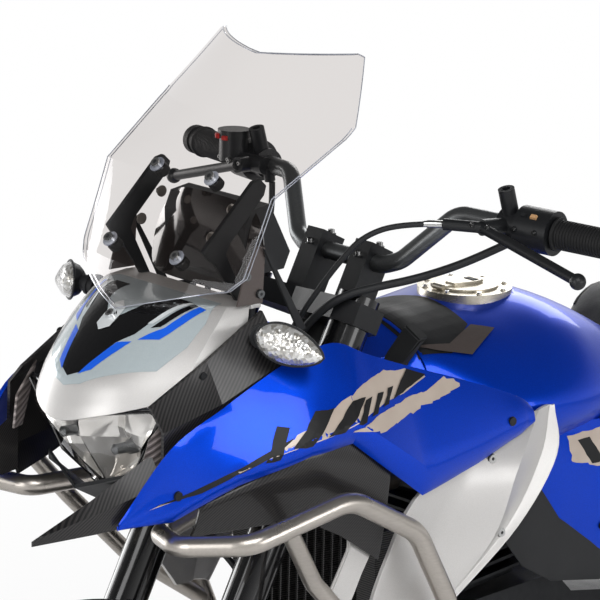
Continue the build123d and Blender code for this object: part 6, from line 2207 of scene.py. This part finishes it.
class Running:
    """Chain links, and screws of the engine, crash bars, rack and plate."""

    PITCH = 15.875
    FRONT = (-85.0, 402.0, 15)
    REAR = (-677.0, 334.0, 40)
    CHAIN_Y = 88.0

    def chain(self) -> None:
        """A roller chain of plates and rollers round both sprockets."""
        radii = [self.PITCH / 2 / math.sin(math.pi / self.FRONT[2]), self.PITCH / 2 / math.sin(math.pi / self.REAR[2])]
        gap = Vector((self.REAR[0] - self.FRONT[0], self.REAR[1] - self.FRONT[1]))
        slope, span = math.atan2(gap.y, gap.x), gap.length
        wrap = math.asin((radii[1] - radii[0]) / span)
        straight = math.sqrt(span ** 2 - (radii[1] - radii[0]) ** 2)
        rear_arc, front_arc = (math.pi + 2 * wrap) * radii[1], (math.pi - 2 * wrap) * radii[0]
        total = 2 * straight + rear_arc + front_arc
        links = 2 * round(total / self.PITCH / 2)
        low, high = slope - math.pi / 2 - wrap, slope + math.pi / 2 + wrap
        inner, outer = [], []
        for link in range(links):
            way = (link + 0.5) / links * total
            if way < straight:
                turn, centre, radius, run = low, self.FRONT, radii[0], way
            elif way < straight + rear_arc:
                turn, centre, radius, run = low + (way - straight) / radii[1], self.REAR, radii[1], 0.0
            elif way < 2 * straight + rear_arc:
                turn, centre, radius, run = high, self.REAR, radii[1], way - straight - rear_arc
            else:
                turn = high + (way - 2 * straight - rear_arc) / radii[0]
                centre, radius, run = self.FRONT, radii[0], 0.0
            spot = Vector((centre[0] + radius * math.cos(turn) - run * math.sin(turn), self.CHAIN_Y,
                           centre[1] + radius * math.sin(turn) + run * math.cos(turn))) * MM
            along = Vector((-math.sin(turn), 0, math.cos(turn)))
            (outer if link % 2 else inner).append((spot, Vector((0, 1, 0)), along))
        parts = []
        for spots, reach in ((inner, 5.6), (outer, 7.6)):
            parts.append(grown("links", link_tree(), spots, {
                "Pitch": total / links * MM, "Plate Size": (0.0255, 0.0128, 0.0018), "Half Width": reach * MM,
                "Roller Radius": 0.0048, "Link Finish": Palette.STEEL.material()}))
        place(joined("roller_chain", parts), Body.CHASSIS, "chain_steel", "chain")

    def screws(self) -> None:
        """Screws of the engine covers, crash bars, rack and plate."""
        inwards, down, forward = (0, -1, 0), (0, 0, -1), (1, 0, 0)
        turns = [2 * math.pi * step / 9 for step in range(9)]
        ring = [(30 + 78 * math.cos(turn), 150, 392 + 78 * math.sin(turn)) for turn in turns]
        for name, node, spots, way, radius, height, head, finish, washer, slot in (
                ("cover_ring_screws", "engine_covers", ring, inwards, 5.5, 4.0, Head.HEX, Palette.STEEL_BRIGHT,
                 Palette.STEEL, "engine_grey"),
                ("crash_bar_screws", "crash_bars", [(336, 150, 480)], inwards, 11.0, 7.0, Head.HEX,
                 Palette.STEEL_BRIGHT, Palette.STEEL, "crash_steel"),
                ("rack_screws", "rear_rack", [(-700, 40, 990), (-860, 40, 990)], down, 6.0, 3.0, Head.BUTTON,
                 Palette.BLACK_METAL, Palette.BLACK_METAL, "frame_black"),
                ("plate_screws", "rear_mudguard", [(-1090, 40, 760)], forward, 5.0, 3.0, Head.BUTTON,
                 Palette.STEEL_BRIGHT, Palette.STEEL, "black_plastic")):
            Screws(name, node, [(spot, way) for spot in spots], radius, height, head, finish, washer).build(
                Body.CHASSIS, slot)

    def build(self) -> None:
        """Dress the running gear."""
        self.chain()
        self.screws()


# Each finish with the solids that stay in view in it.
FINISHES: dict[Coating, tuple[str, ...]] = {
    Palette.BLACK_METAL: ("front_rim", "rear_rim", "fork_feet", "yokes", "hand_controls", "frame", "subframe",
                          "nose_stay", "swingarm", "centre_stand", "side_stand", "rear_rack"),
    Palette.STEEL: ("front_hub", "rear_hub", "rear_sprocket", "shock", "crash_bars"),
    Palette.BRAKE: ("front_disc", "rear_disc"),
    Palette.BLACK_ENAMEL: ("fork_tubes",),
    Palette.STEEL_BRIGHT: ("fork_sliders",),
    Palette.TITANIUM: ("handlebar",),
    Palette.GRIP: ("grips",),
    Palette.BLACK_PLASTIC: ("front_fender", "instrument", "rear_mudguard"),
    Palette.CAST_DARK: ("engine_case", "cylinder"),
    Palette.CAST: ("engine_covers", "foot_controls"),
    Palette.EXHAUST: ("exhaust",),
    Palette.SILVER: ("skid_plate",),
    Palette.FINS: ("radiator",),
    Palette.BLUE: ("fuel_tank",),
    Palette.CAP: ("filler_ring", "fuel_cap"),
    Palette.CARBON: ("nose_sides", "beak_wings"),
    Palette.SCREEN: ("windscreen",),
    Palette.RED_LENS: ("tail_light",),
}


def finish_nodes() -> None:
    """Give the solids that stay in view their finishes."""
    for finish, names in FINISHES.items():
        for name in names:
            slots = FRAME["nodes"][name].data.materials
            slots.clear()
            slots.append(finish.material())


def main() -> None:
    """Build every sub-assembly in order."""
    finish_nodes()
    Studio().build()
    Cords().build()
    Bodywork().build()
    Wheel("front", Body.FRONT_WHEEL, (763.0, 304.0), 304.0, 110.0, 35.0, 60.6).build()
    Wheel("rear", Body.REAR_WHEEL, (-677.0, 334.0), 314.0, 140.0, 55.0, -67.6).build()
    Seats().build()
    Screen().build()
    Nose().build()
    Panels().build()
    Tank().build()
    Controls().build()
    Running().build()


if __name__ == "__main__":
    logging.basicConfig(level=logging.INFO, format="%(message)s")
    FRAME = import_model()
    main()
